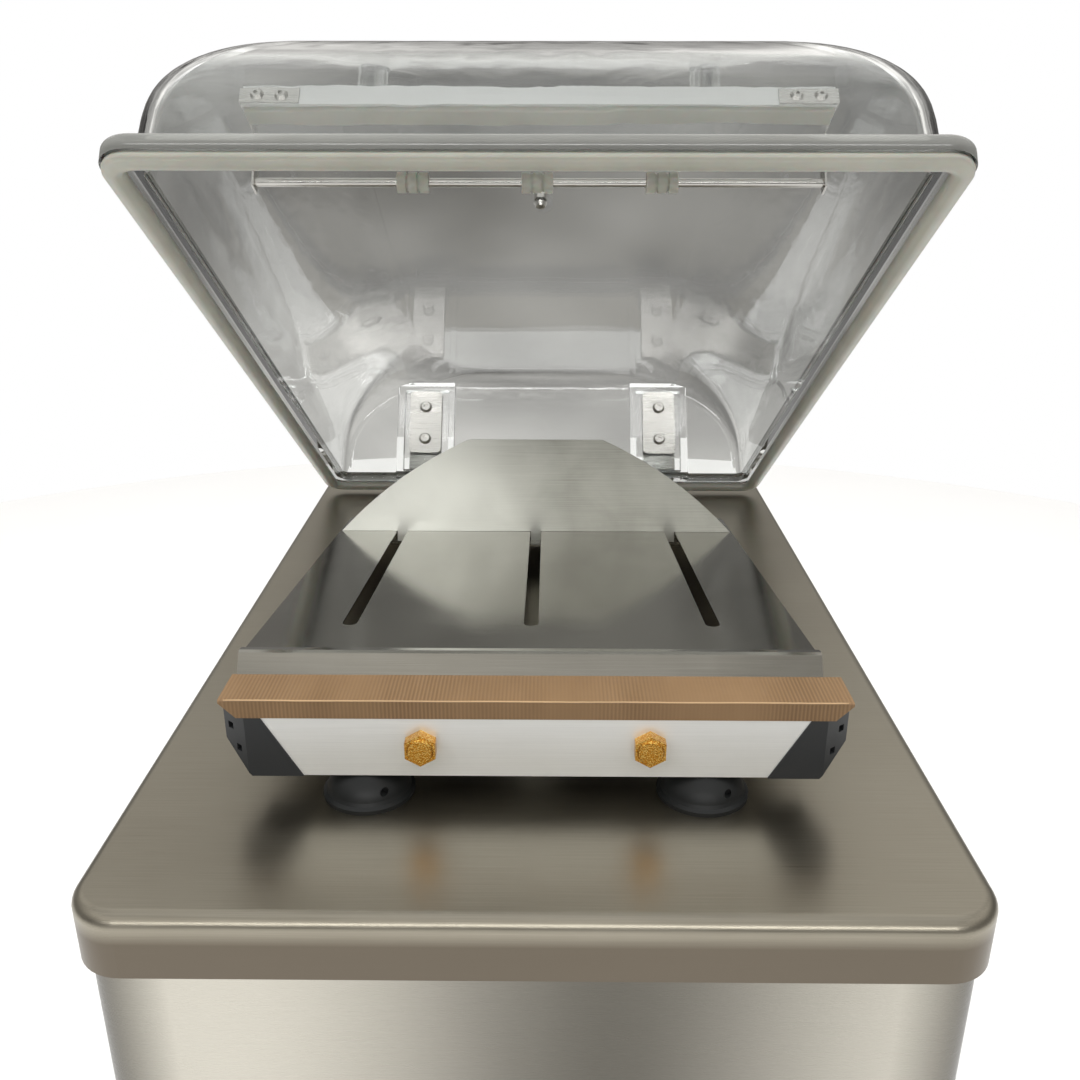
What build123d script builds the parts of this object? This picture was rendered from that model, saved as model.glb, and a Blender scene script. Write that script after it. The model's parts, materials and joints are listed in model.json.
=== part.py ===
from build123d import *
import os
from math import cos, radians, sin, sqrt, tan

# Floor-standing single-chamber vacuum packing machine, in millimetres.
# Origin: on the floor, under the middle of the deck. +X right, +Y to the rear, +Z up.
# The lid stands open at rest, as the machine waits to be loaded.

os.makedirs("parts", exist_ok=True)

# ---------------------------------------------------------------- driving sizes
# deck: one pressed stainless sheet with a rolled edge and a turned-down lip
deck_width = 570.0
deck_depth = 885.0
deck_top = 890.0
deck_sheet = 2.0
deck_edge_radius = 9.0
deck_lip = 45.0
deck_corner_radius = 35.0

# cabinet under the deck
cabinet_inset = 6.0
cabinet_sheet = 1.5
cabinet_flange = 18.0
base_flange = 28.0

# castors
castor_wheel_radius = 37.5
castor_head = 25.0
castor_wheel_width = 24.0
castor_axle_radius = 6.0
castor_trail = 28.0
castor_inset_x = 62.0
castor_inset_y = 70.0
castor_plate = 74.0
castor_plate_sheet = 3.0
castor_race = 9.0
fork_sheet = 3.0

# lid: clear formed dome with a flat rim
lid_side_margin = 8.5
lid_front_margin = 38.2
lid_rim = 16.0
lid_rim_thickness = 12.0
lid_corner_radius = 24.0
lid_dome = 145.0
lid_wall = 8.0
lid_side_radius = 105.0
lid_front_radius = 100.0
lid_rear_radius = 30.0
lid_draft = tan(radians(3.0))
lid_open = 33.9

# lid hinge, under the deck behind the lid
hinge_from_rear = 91.0
hinge_behind_lid = 12.8
hinge_drop = 40.0
hinge_arm_from_side = 128.5
hinge_arm_width = 40.0
hinge_leg = 9.0
hinge_slot_gap = 3.5
hinge_shaft_radius = 8.0
hinge_channel_width = 56.0
hinge_channel_depth = 14.0
hinge_channel_top = 118.0
hinge_screws = (50.0, 92.0)
hinge_screw_radius = 4.0

# gasket
gasket_width = 15.0
gasket_height = 8.0

# seal bar
seal_bar_from_front = 135.0
seal_bar_top = 81.0
seal_bar_from_side = 65.5
seal_bar_width = 36.0
seal_bar_lift = 12.0
rail_bottom = 23.0
rail_from_end_top = 27.0
rail_from_end_bottom = 53.0
rail_wall = 4.0
heater_height = 13.5
lift_from_end = 94.0
lift_post_radius = 6.0
lift_cup_radius = 32.0
lift_cylinder_radius = 36.0

# counter bar and bag rod, hung in the lid
counter_short_of_bar = 1.0
counter_width = 24.0
counter_height = 17.0
strip_width = 18.0
strip_height = 8.0
strip_recess = 4.0
post_radius = 11.0
post_from_end = 90.0
rod_radius = 3.3
rod_depth_in_lid = 56.0
rod_from_seal_bar = 13.0
collar_spacing = 92.0
collar_radius = 7.5
collar_length = 25.0

# product tray and backstop
tray_from_side = 68.5
tray_from_seal_bar = 30.0
tray_from_lid_rear = 153.4
tray_front_height = 82.0
tray_slope = 6.8
tray_sheet = 1.5
tray_offset_x = -5.0
slot_width = 11.5
slot_from_side = 66.0
slot_front = 65.0
slot_rear = 60.5
backstop_short_of_tray = 2.0
backstop_top_width = 139.0
backstop_height = 98.0
backstop_sheet = 2.0
tab_width = 10.5
tab_depth = 12.0

# control panel on the cabinet's front
panel_width = 340.0
panel_height = 120.0
panel_below_deck = 240.0
panel_sheet = 3.0
button_width = 26.0
button_height = 15.0
button_rise = 2.0

# named clearances
running_gap = 0.05
sliding_gap = 0.3
rest_gap = 0.2
closed_gap = 0.4
seal_gap = 0.5

# ------------------------------------------------------------ places worked out
deck_front_y = -deck_depth / 2
deck_rear_y = deck_depth / 2
deck_under = deck_top - deck_sheet

cabinet_width = deck_width - 2 * cabinet_inset
cabinet_depth = deck_depth - 2 * cabinet_inset
cabinet_front_y = -cabinet_depth / 2
cabinet_rear_y = cabinet_depth / 2
cabinet_corner_radius = deck_corner_radius - cabinet_inset
castor_height = 2 * castor_wheel_radius + castor_head
cabinet_bottom = castor_height

hinge_y = deck_rear_y - hinge_from_rear
hinge_z = deck_top - hinge_drop
rim_closed_y = hinge_y - hinge_behind_lid
rim_closed_z = deck_top + closed_gap + gasket_height
lid_width = deck_width - 2 * lid_side_margin
lid_length = rim_closed_y - deck_front_y - lid_front_margin
hinge_arm_x = lid_width / 2 - hinge_arm_from_side

seal_bar_y = deck_front_y + seal_bar_from_front
seal_bar_half = lid_width / 2 - seal_bar_from_side
rail_half_top = seal_bar_half - rail_from_end_top
rail_half_bottom = seal_bar_half - rail_from_end_bottom
lift_x = seal_bar_half - lift_from_end
counter_half = seal_bar_half - counter_short_of_bar
post_x = counter_half - post_from_end

tray_turn = radians(tray_slope)
tray_front_y = seal_bar_y + seal_bar_width / 2 + tray_from_seal_bar
tray_width = lid_width - 2 * tray_from_side
tray_length = (rim_closed_y - tray_from_lid_rear - tray_front_y) / cos(tray_turn)
slot_spacing = tray_width / 2 - slot_from_side
slot_length = tray_length - slot_front - slot_rear


def opened(y, z):
    """Where a point of the closed lid goes when the lid stands open."""
    ahead = hinge_y - y
    above = z - hinge_z
    turn = radians(lid_open)
    return (
        hinge_y - ahead * cos(turn) + above * sin(turn),
        hinge_z + ahead * sin(turn) + above * cos(turn),
    )


# The lid's own planes: local y runs to the rear and local z from the rim to the roof.
rim_open_y, rim_open_z = opened(rim_closed_y, rim_closed_z)
lid_normal = Vector(0, sin(radians(lid_open)), cos(radians(lid_open)))
lid_plane = Plane(origin=(0, rim_open_y, rim_open_z), x_dir=(1, 0, 0), z_dir=lid_normal)
lid_side = Plane(origin=lid_plane.origin, x_dir=lid_plane.y_dir, z_dir=lid_plane.x_dir)
lid_front = Plane(origin=lid_plane.origin, x_dir=lid_plane.x_dir, z_dir=-lid_plane.y_dir)

# In the lid's frame
hinge_local_y = hinge_behind_lid
hinge_local_z = hinge_z - rim_closed_z
counter_local_y = seal_bar_y - rim_closed_y
strip_bottom = deck_top + seal_bar_top + seal_bar_lift + seal_gap - rim_closed_z
counter_top = strip_bottom + strip_height - strip_recess + counter_height
rod_local_y = seal_bar_y + seal_bar_width / 2 + rod_from_seal_bar - rim_closed_y


# ------------------------------------------------------------------------- deck
slot_ahead = hinge_leg / 2 + hinge_slot_gap
slot_behind = hinge_drop * tan(radians(lid_open)) + hinge_leg / 2 / cos(radians(lid_open)) + hinge_slot_gap
arm_slot_y = hinge_y + (slot_behind - slot_ahead) / 2
suction_port_y = 250.0
suction_port_radius = 12.0

with BuildPart() as deck_plate:
    with BuildSketch(Plane.XY.offset(deck_top - deck_lip)):
        RectangleRounded(deck_width, deck_depth, deck_corner_radius)
    extrude(amount=deck_lip)
    fillet(deck_plate.faces().sort_by(Axis.Z)[-1].edges(), deck_edge_radius)
    offset(amount=-deck_sheet, openings=deck_plate.faces().sort_by(Axis.Z)[0])
    with BuildSketch(Plane.XY.offset(deck_top)):
        with Locations((-hinge_arm_x, arm_slot_y), (hinge_arm_x, arm_slot_y)):
            RectangleRounded(hinge_arm_width + 2 * hinge_slot_gap, slot_ahead + slot_behind, 5)
        with Locations((-lift_x, seal_bar_y), (lift_x, seal_bar_y)):
            Circle(lift_post_radius + 2)
        with Locations((0, suction_port_y)):
            Circle(suction_port_radius)
    extrude(amount=-2 * deck_sheet, mode=Mode.SUBTRACT)
deck_plate.part.label = "deck_plate"
export_step(deck_plate.part, "parts/deck_plate.step")

# ---------------------------------------------------------------------- cabinet
cabinet_fold = deck_edge_radius - cabinet_inset + 3 * rest_gap
panel_z = deck_top - panel_below_deck
panel_overlap = 10.0
service_width = 400.0
service_height = 460.0
service_z = 400.0
service_overlap = 15.0
inlet_x = 225.0
inlet_z = 215.0
gland_thread_radius = 8.0
panel_face = Plane((0, cabinet_front_y, panel_z), x_dir=(1, 0, 0), z_dir=(0, -1, 0))
rear_face = Plane((0, cabinet_rear_y, service_z), x_dir=(-1, 0, 0), z_dir=(0, 1, 0))

with BuildPart() as cabinet_shell:
    with BuildSketch(Plane.XY.offset(cabinet_bottom)):
        RectangleRounded(cabinet_width, cabinet_depth, cabinet_corner_radius)
    extrude(amount=deck_under - cabinet_bottom)
    # the top edge is folded in as a flange that carries the deck, clear of the deck's rolled edge
    fillet(cabinet_shell.faces().sort_by(Axis.Z)[-1].edges(), cabinet_fold)
    offset(amount=-cabinet_sheet, openings=cabinet_shell.faces().sort_by(Axis.Z)[0])
    with BuildSketch(Plane.XY.offset(deck_under)):
        RectangleRounded(
            cabinet_width - 2 * cabinet_flange,
            cabinet_depth - 2 * cabinet_flange,
            cabinet_corner_radius - cabinet_flange,
        )
    extrude(amount=-2 * cabinet_sheet, mode=Mode.SUBTRACT)
    with BuildSketch(panel_face):
        Rectangle(panel_width - 2 * panel_overlap, panel_height - 2 * panel_overlap)
    extrude(amount=-2 * cabinet_sheet, mode=Mode.SUBTRACT)
    with BuildSketch(rear_face):
        Rectangle(service_width - 2 * service_overlap, service_height - 2 * service_overlap)
        with Locations((-inlet_x, inlet_z - service_z)):
            Circle(gland_thread_radius)
    extrude(amount=-2 * cabinet_sheet, mode=Mode.SUBTRACT)
cabinet_shell.part.label = "cabinet_shell"
export_step(cabinet_shell.part, "parts/cabinet_shell.step")

with BuildPart() as base_tray:
    with BuildSketch(Plane.XY.offset(cabinet_bottom)):
        RectangleRounded(
            cabinet_width - 2 * cabinet_sheet - 2 * rest_gap,
            cabinet_depth - 2 * cabinet_sheet - 2 * rest_gap,
            cabinet_corner_radius - cabinet_sheet,
        )
    extrude(amount=base_flange)
    offset(amount=-deck_sheet, openings=base_tray.faces().sort_by(Axis.Z)[-1])
base_tray.part.label = "base_tray"
export_step(base_tray.part, "parts/base_tray.step")

louvre_pitch = 22.0
louvre_count = 7
louvre_length = 110.0
louvre_x = 90.0
louvre_first = 70.0

with BuildPart() as rear_service_panel:
    with BuildSketch(rear_face):
        RectangleRounded(service_width, service_height, 8)
    extrude(amount=deck_sheet)
    for side in (-1, 1):
        for row in range(louvre_count):
            louvre_z = service_z + louvre_first + row * louvre_pitch
            with BuildSketch(Plane.YZ.offset(side * louvre_x - louvre_length / 2)):
                with BuildLine():
                    Polyline(
                        (cabinet_rear_y + deck_sheet, louvre_z + 5),
                        (cabinet_rear_y + deck_sheet + 5, louvre_z - 6),
                        (cabinet_rear_y + deck_sheet + 4, louvre_z - 7.5),
                        (cabinet_rear_y + deck_sheet, louvre_z + 2),
                        close=True,
                    )
                make_face()
            extrude(amount=louvre_length)
    # the slot behind each hood
    with BuildSketch(rear_face):
        for side in (-1, 1):
            for row in range(louvre_count):
                with Locations((side * louvre_x, louvre_first - 4 + row * louvre_pitch)):
                    Rectangle(louvre_length - 8, 5)
    extrude(amount=2 * deck_sheet, mode=Mode.SUBTRACT)
rear_service_panel.part.label = "rear_service_panel"
export_step(rear_service_panel.part, "parts/rear_service_panel.step")

# ---------------------------------------------------------------- control panel
button_pitch = 38.0
button_x = tuple(-57 + button_pitch * i for i in range(4))
button_z = panel_z - 34
display_z = panel_z + 18
display_width = 150.0
display_height = 44.0
stop_x = -132.0
gauge_x = 128.0
gauge_radius = 31.0
switch_x = -132.0
switch_z = panel_z - 34
stop_z = panel_z + 22

with BuildPart() as control_panel:
    with BuildSketch(panel_face):
        RectangleRounded(panel_width, panel_height, 10)
    extrude(amount=panel_sheet)
    fillet(control_panel.faces().sort_by(Axis.Y)[0].edges(), 1)
    # windows for the keys, the display, the gauge, the stop button and the switch
    with BuildSketch(panel_face.offset(panel_sheet)):
        with Locations(*[(x, button_z - panel_z) for x in button_x]):
            RectangleRounded(button_width + 2 * sliding_gap, button_height + 2 * sliding_gap, 3.3)
        with Locations((stop_x, stop_z - panel_z), (switch_x, switch_z - panel_z)):
            Circle(8 + sliding_gap)
        with Locations((gauge_x, 0)):
            Circle(gauge_radius - 3)
    extrude(amount=-panel_sheet, mode=Mode.SUBTRACT)
    with BuildSketch(panel_face.offset(panel_sheet)):
        with Locations((0, display_z - panel_z)):
            RectangleRounded(display_width, display_height, 3)
    extrude(amount=-1.5, mode=Mode.SUBTRACT)
control_panel.part.label = "control_panel"
export_step(control_panel.part, "parts/control_panel.step")

with BuildPart() as display_window:
    with BuildSketch(panel_face.offset(panel_sheet - 1.5)):
        with Locations((0, display_z - panel_z)):
            RectangleRounded(display_width - 0.4, display_height - 0.4, 2.8)
    extrude(amount=1.2)
display_window.part.label = "display_window"
export_step(display_window.part, "parts/display_window.step")

for number, x in enumerate(button_x, start=1):
    with BuildPart() as panel_button:
        with BuildSketch(panel_face.offset(panel_sheet + button_rise)):
            with Locations((x, button_z - panel_z)):
                RectangleRounded(button_width, button_height, 3)
        extrude(amount=-(button_rise + panel_sheet))
        fillet(panel_button.faces().sort_by(Axis.Y)[0].edges(), 0.8)
        with BuildSketch(panel_face):
            with Locations((x, button_z - panel_z)):
                RectangleRounded(button_width - 4, button_height - 4, 2)
        extrude(amount=-4)
    panel_button.part.label = f"panel_button_{number}"
    export_step(panel_button.part, f"parts/panel_button_{number}.step")

stop_plane = Plane((stop_x, cabinet_front_y, stop_z), x_dir=(0, 1, 0), z_dir=(1, 0, 0))
with BuildPart() as emergency_stop:
    with BuildSketch(stop_plane):
        with BuildLine():
            Polyline((0, 0), (-27, 0), (-27, 8), close=False)
            ThreePointArc((-27, 8), (-25, 15.5), (-20, 19))
            Polyline((-20, 19), (-16, 19), (-15, 13), (-13, 8), (10, 8), (10, 0), (0, 0), close=False)
        make_face()
    revolve(axis=Axis(stop_plane.origin, (0, 1, 0)))
emergency_stop.part.label = "emergency_stop"
export_step(emergency_stop.part, "parts/emergency_stop.step")

with BuildPart() as power_switch:
    with BuildSketch(panel_face.offset(panel_sheet + rest_gap)):
        with Locations((switch_x, switch_z - panel_z)):
            Circle(14)
    extrude(amount=5)
    with BuildSketch(panel_face.offset(panel_sheet + rest_gap + 5)):
        with Locations((switch_x, switch_z - panel_z)):
            SlotOverall(26, 9, rotation=90)
    extrude(amount=11, taper=4)
    with BuildSketch(panel_face.offset(panel_sheet + rest_gap)):
        with Locations((switch_x, switch_z - panel_z)):
            Circle(8)
    extrude(amount=-12)
power_switch.part.label = "power_switch"
export_step(power_switch.part, "parts/power_switch.step")

with BuildPart() as gauge_case:
    with BuildSketch(panel_face.offset(panel_sheet)):
        with Locations((gauge_x, 0)):
            Circle(gauge_radius + 2)
    extrude(amount=5)
    fillet(gauge_case.faces().sort_by(Axis.Y)[0].edges(), 1.5)
    with BuildSketch(panel_face.offset(panel_sheet)):
        with Locations((gauge_x, 0)):
            Circle(gauge_radius - 3 - rest_gap)
    extrude(amount=-30)
    with BuildSketch(panel_face.offset(panel_sheet + 5)):
        with Locations((gauge_x, 0)):
            Circle(gauge_radius - 2)
    extrude(amount=-5, mode=Mode.SUBTRACT)
gauge_case.part.label = "gauge_case"
export_step(gauge_case.part, "parts/gauge_case.step")

needle_length = gauge_radius - 7
needle_rest = 135.0
needle_plane = panel_face.offset(panel_sheet + 1.6)
with BuildPart() as gauge_needle:
    with BuildSketch(needle_plane):
        with Locations((gauge_x, 0)):
            Circle(4)
        with Locations(Location((gauge_x, 0, 0), (0, 0, needle_rest))):
            Polygon((-1.8, 0), (1.8, 0), (0, needle_length), align=None)
            Polygon((-1.8, 0), (1.8, 0), (2.6, -8), (-2.6, -8), align=None)
    extrude(amount=1.2)
gauge_needle.part.label = "gauge_needle"
export_step(gauge_needle.part, "parts/gauge_needle.step")

# ----------------------------------------------------------------- mains inlet
cord_bore_radius = 4.25
gland_plane = Plane((inlet_x, cabinet_rear_y, inlet_z), x_dir=(-1, 0, 0), z_dir=(0, 1, 0))

with BuildPart() as mains_gland:
    with BuildSketch(gland_plane):
        RegularPolygon(radius=13, side_count=6)
    extrude(amount=6)
    with BuildSketch(gland_plane.offset(6)):
        Circle(11)
    extrude(amount=14, taper=10)
    with BuildSketch(gland_plane):
        Circle(gland_thread_radius - rest_gap)
    extrude(amount=-12)
    with BuildSketch(gland_plane.offset(20)):
        Circle(cord_bore_radius)
    extrude(amount=-32, mode=Mode.SUBTRACT)
mains_gland.part.label = "mains_gland"
export_step(mains_gland.part, "parts/mains_gland.step")

# --------------------------------------------------------------------- castors
castor_x = cabinet_width / 2 - castor_inset_x
castor_y = cabinet_depth / 2 - castor_inset_y
castor_spots = {
    "front_left": (-castor_x, -castor_y),
    "front_right": (castor_x, -castor_y),
    "rear_left": (-castor_x, castor_y),
    "rear_right": (castor_x, castor_y),
}
braked_castors = ("front_left", "front_right")
race_radius = 24.0
fork_top = castor_height - castor_plate_sheet - castor_race
fork_gap = castor_wheel_width + 4.0
brake_pivot_back = castor_trail + 30.0
brake_hub_radius = 4.5
brake_shoe_height = 7.0
brake_pivot_z = fork_top - 8.0
brake_pin_radius = 2.5

with BuildPart() as castor_plates:
    with BuildSketch(Plane.XY.offset(castor_height)):
        with Locations(*castor_spots.values()):
            RectangleRounded(castor_plate, castor_plate, 6)
        with Locations(*castor_spots.values()):
            with GridLocations(54, 54, 2, 2):
                Circle(4.25, mode=Mode.SUBTRACT)
    extrude(amount=-castor_plate_sheet)
    with BuildSketch(Plane.XY.offset(castor_height - castor_plate_sheet)):
        with Locations(*castor_spots.values()):
            Circle(race_radius)
    extrude(amount=-(castor_race - sliding_gap))
castor_plates.part.label = "castor_plates"
export_step(castor_plates.part, "parts/castor_plates.step")

for corner, (x, y) in castor_spots.items():
    axle_y = y + castor_trail
    side_plane = Plane((x, 0, 0), x_dir=(0, 1, 0), z_dir=(1, 0, 0))
    with BuildPart() as castor_fork:
        with BuildSketch(Plane.XY.offset(fork_top)):
            with Locations((x, y)):
                Circle(race_radius + 2)
            with Locations((x, y + castor_trail / 2)):
                Rectangle(fork_gap + 2 * fork_sheet, castor_trail)
        extrude(amount=-fork_sheet)
        # the two cheeks taper down to the axle
        for side in (-1, 1):
            with BuildSketch(side_plane.offset(side * (fork_gap + fork_sheet) / 2 - fork_sheet / 2)):
                with BuildLine():
                    Polyline(
                        (y - 20, fork_top),
                        (y + castor_trail, fork_top),
                        (axle_y + 13, castor_wheel_radius),
                        (axle_y - 13, castor_wheel_radius - 2),
                        close=True,
                    )
                make_face()
                with Locations((axle_y, castor_wheel_radius)):
                    Circle(13)
            extrude(amount=fork_sheet)
        # axle with its bolt head and nut
        with BuildSketch(side_plane.offset(-fork_gap / 2 - fork_sheet - 5)):
            with Locations((axle_y, castor_wheel_radius)):
                RegularPolygon(radius=10, side_count=6)
        extrude(amount=5)
        with BuildSketch(side_plane.offset(fork_gap / 2 + fork_sheet)):
            with Locations((axle_y, castor_wheel_radius)):
                RegularPolygon(radius=9, side_count=6)
        extrude(amount=6)
        with BuildSketch(side_plane.offset(-fork_gap / 2)):
            with Locations((axle_y, castor_wheel_radius)):
                Circle(castor_axle_radius)
        extrude(amount=fork_gap)
        if corner in braked_castors:
            # a tongue with two ears and a pin carries the brake pedal
            with BuildSketch(Plane.XY.offset(fork_top)):
                with Locations((x, y + (castor_trail + brake_pivot_back) / 2)):
                    Rectangle(fork_gap + 2 * fork_sheet, brake_pivot_back - castor_trail + 4)
            extrude(amount=-fork_sheet)
            for side in (-1, 1):
                with BuildSketch(side_plane.offset(side * (fork_gap + fork_sheet) / 2 - fork_sheet / 2)):
                    with Locations((y + brake_pivot_back - 2, (fork_top + brake_pivot_z) / 2)):
                        Rectangle(10, fork_top - brake_pivot_z)
                    with Locations((y + brake_pivot_back, brake_pivot_z)):
                        Circle(6)
                extrude(amount=fork_sheet)
            with BuildSketch(side_plane.offset(-fork_gap / 2)):
                with Locations((y + brake_pivot_back, brake_pivot_z)):
                    Circle(brake_pin_radius)
            extrude(amount=fork_gap)
    castor_fork.part.label = f"castor_fork_{corner}"
    export_step(castor_fork.part, f"parts/castor_fork_{corner}.step")

    half = castor_wheel_width / 2
    wheel_centre = (x, axle_y, castor_wheel_radius)
    with BuildPart() as castor_wheel:
        with BuildSketch(Plane(wheel_centre, x_dir=(1, 0, 0), z_dir=(0, -1, 0))):
            with BuildLine():
                Polyline((half + 1, 16), (half + 1, castor_axle_radius + running_gap))
                Polyline(
                    (half + 1, castor_axle_radius + running_gap),
                    (-half - 1, castor_axle_radius + running_gap),
                )
                Polyline((-half - 1, castor_axle_radius + running_gap), (-half - 1, 16), (-7, 20), (-7, 26))
                Polyline((-7, 26), (-half, 29), (-half, castor_wheel_radius - 5))
                ThreePointArc(
                    (-half, castor_wheel_radius - 5),
                    (-half + 1.8, castor_wheel_radius - 1.5),
                    (-half + 6, castor_wheel_radius),
                )
                Line((-half + 6, castor_wheel_radius), (half - 6, castor_wheel_radius))
                ThreePointArc(
                    (half - 6, castor_wheel_radius),
                    (half - 1.8, castor_wheel_radius - 1.5),
                    (half, castor_wheel_radius - 5),
                )
                Polyline((half, castor_wheel_radius - 5), (half, 29), (7, 26), (7, 20), (half + 1, 16))
            make_face()
        revolve(axis=Axis(wheel_centre, (1, 0, 0)))
    castor_wheel.part.label = f"castor_wheel_{corner}"
    export_step(castor_wheel.part, f"parts/castor_wheel_{corner}.step")

# a foot pedal behind each front wheel presses its shoe on the tread; it rests pressed
for corner in braked_castors:
    x, y = castor_spots[corner]
    pivot_y = y + brake_pivot_back
    to_axle = Vector(0, y + castor_trail - pivot_y, castor_wheel_radius - brake_pivot_z)
    shoe_reach = to_axle.length - castor_wheel_radius - sliding_gap
    side_plane = Plane((x, pivot_y, brake_pivot_z), x_dir=(0, 1, 0), z_dir=(1, 0, 0))
    shoe_plane = Plane((x, pivot_y, brake_pivot_z), x_dir=to_axle, z_dir=(1, 0, 0))
    with BuildPart() as castor_brake:
        with BuildSketch(side_plane.offset(1 - fork_gap / 2)):
            Circle(brake_hub_radius)
            Polygon((0, 4), (36, -2), (37, -6), (35, -7.5), (0, -4), align=None)
        extrude(amount=fork_gap - 2)
        with BuildSketch(shoe_plane.offset(1 - fork_gap / 2)):
            with Locations((shoe_reach / 2, 0)):
                Rectangle(shoe_reach, brake_shoe_height)
            Circle(shoe_reach, mode=Mode.INTERSECT)
        extrude(amount=fork_gap - 2)
        with BuildSketch(side_plane.offset(-fork_gap / 2)):
            Circle(brake_pin_radius + running_gap)
        extrude(amount=fork_gap, mode=Mode.SUBTRACT)
    castor_brake.part.label = f"castor_brake_{corner}"
    export_step(castor_brake.part, f"parts/castor_brake_{corner}.step")

# ------------------------------------------------- pump set inside the cabinet
floor_inside = cabinet_bottom + deck_sheet
pump_y = 60.0
pump_z = floor_inside + 95.0
pump_front_y = pump_y - 150.0
pump_width, pump_height, pump_length = 190.0, 170.0, 190.0
pump_corner = 30.0
pump_fins = 8
fin_pitch, fin_sheet, fin_stand_out = 22.0, 6.0, 11.0
pump_foot, pump_foot_height = 150.0, 12.0
pump_inlet = (-50.0, pump_y - 30.0)
inlet_radius, inlet_height = 20.0, 20.0

with BuildPart() as pump_body:
    with BuildSketch(Plane((0, pump_front_y, pump_z), x_dir=(1, 0, 0), z_dir=(0, -1, 0))):
        RectangleRounded(pump_width, pump_height, pump_corner)
    extrude(amount=-pump_length)
    # cooling fins over the oil box
    for i in range(pump_fins):
        fin_y = pump_front_y + (i + 0.5) * fin_pitch
        with BuildSketch(Plane((0, fin_y, pump_z), x_dir=(1, 0, 0), z_dir=(0, -1, 0))):
            RectangleRounded(pump_width + 2 * fin_stand_out, pump_height + 8, pump_corner + 4)
        extrude(amount=-fin_sheet)
    with BuildSketch(Plane.XY.offset(floor_inside)):
        with Locations((0, pump_front_y + pump_length / 2)):
            Rectangle(pump_foot, pump_foot)
    extrude(amount=pump_foot_height)
    with BuildSketch(Plane.XY.offset(pump_z + pump_height / 2 - 5)):
        with Locations(pump_inlet):
            Circle(inlet_radius)
    extrude(amount=inlet_height + 5)
pump_body.part.label = "pump_body"
export_step(pump_body.part, "parts/pump_body.step")

motor_front = pump_front_y + pump_length
motor_radius = 72.0
motor_length = 180.0
motor_ribs = 16
fan_cover_length = 46.0
with BuildPart() as pump_motor:
    with BuildSketch(Plane((0, motor_front, pump_z), x_dir=(-1, 0, 0), z_dir=(0, 1, 0))):
        Circle(motor_radius)
        with PolarLocations(motor_radius, motor_ribs):
            Rectangle(16, 3)
    extrude(amount=motor_length)
    with BuildSketch(Plane((0, motor_front + motor_length, pump_z), x_dir=(-1, 0, 0), z_dir=(0, 1, 0))):
        Circle(motor_radius + 4)
    extrude(amount=fan_cover_length)
    fillet(pump_motor.faces().sort_by(Axis.Y)[-1].edges(), 12)
    with BuildSketch(Plane((0, motor_front + motor_length / 2, pump_z + motor_radius - 6), z_dir=(0, 0, 1))):
        RectangleRounded(80, 90, 6)
    extrude(amount=40)
pump_motor.part.label = "pump_motor"
export_step(pump_motor.part, "parts/pump_motor.step")

filter_radius, filter_height = 34.0, 120.0
with BuildPart() as exhaust_filter:
    with BuildSketch(Plane.XY.offset(pump_z + pump_height / 2 + 4)):
        with Locations((55, pump_y - 70)):
            Circle(filter_radius)
    extrude(amount=filter_height)
    fillet(exhaust_filter.faces().sort_by(Axis.Z)[-1].edges(), 14)
exhaust_filter.part.label = "exhaust_filter"
export_step(exhaust_filter.part, "parts/exhaust_filter.step")

# laminated core with its windings round the middle leg
transformer_place = (150.0, -260.0)
core_width, core_depth, core_height = 110.0, 90.0, 95.0
winding_width, winding_depth, winding_height = 74.0, 130.0, 60.0
with BuildPart() as seal_transformer:
    with BuildSketch(Plane.XY.offset(floor_inside)):
        with Locations(transformer_place):
            Rectangle(core_width, core_depth)
    extrude(amount=core_height)
    with BuildSketch(Plane.XY.offset(floor_inside + (core_height - winding_height) / 2)):
        with Locations(transformer_place):
            RectangleRounded(winding_width, winding_depth, 16)
    extrude(amount=winding_height)
seal_transformer.part.label = "seal_transformer"
export_step(seal_transformer.part, "parts/seal_transformer.step")

# vacuum pipe: straight up from the pump's inlet, across, and up to the deck port
pipe_radius = 13.0
pipe_bend = 45.0
pipe_high = deck_top - 190.0
pipe_low = pipe_high - 40.0
port_height = 20.0
pipe_bottom = pump_z + pump_height / 2 + inlet_height
with BuildPart() as vacuum_pipe:
    with BuildLine():
        FilletPolyline(
            (*pump_inlet, pipe_bottom),
            (*pump_inlet, pipe_low),
            (0, suction_port_y, pipe_high),
            (0, suction_port_y, deck_under - port_height),
            radius=pipe_bend,
        )
    with BuildSketch(Plane((*pump_inlet, pipe_bottom), z_dir=(0, 0, 1))):
        Circle(pipe_radius)
    sweep()
vacuum_pipe.part.label = "vacuum_pipe"
export_step(vacuum_pipe.part, "parts/vacuum_pipe.step")

port_flange_radius, port_flange = 30.0, 6.0
with BuildPart() as deck_port:
    with BuildSketch(Plane.XY.offset(deck_under)):
        with Locations((0, suction_port_y)):
            Circle(port_flange_radius)
    extrude(amount=-port_flange)
    with BuildSketch(Plane.XY.offset(deck_under - port_flange)):
        with Locations((0, suction_port_y)):
            Circle(pipe_radius + 5)
    extrude(amount=port_flange - port_height)
    with BuildSketch(Plane.XY.offset(deck_under)):
        with Locations((0, suction_port_y)):
            Circle(suction_port_radius)
    extrude(amount=-12, mode=Mode.SUBTRACT)
deck_port.part.label = "deck_port"
export_step(deck_port.part, "parts/deck_port.step")

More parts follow.
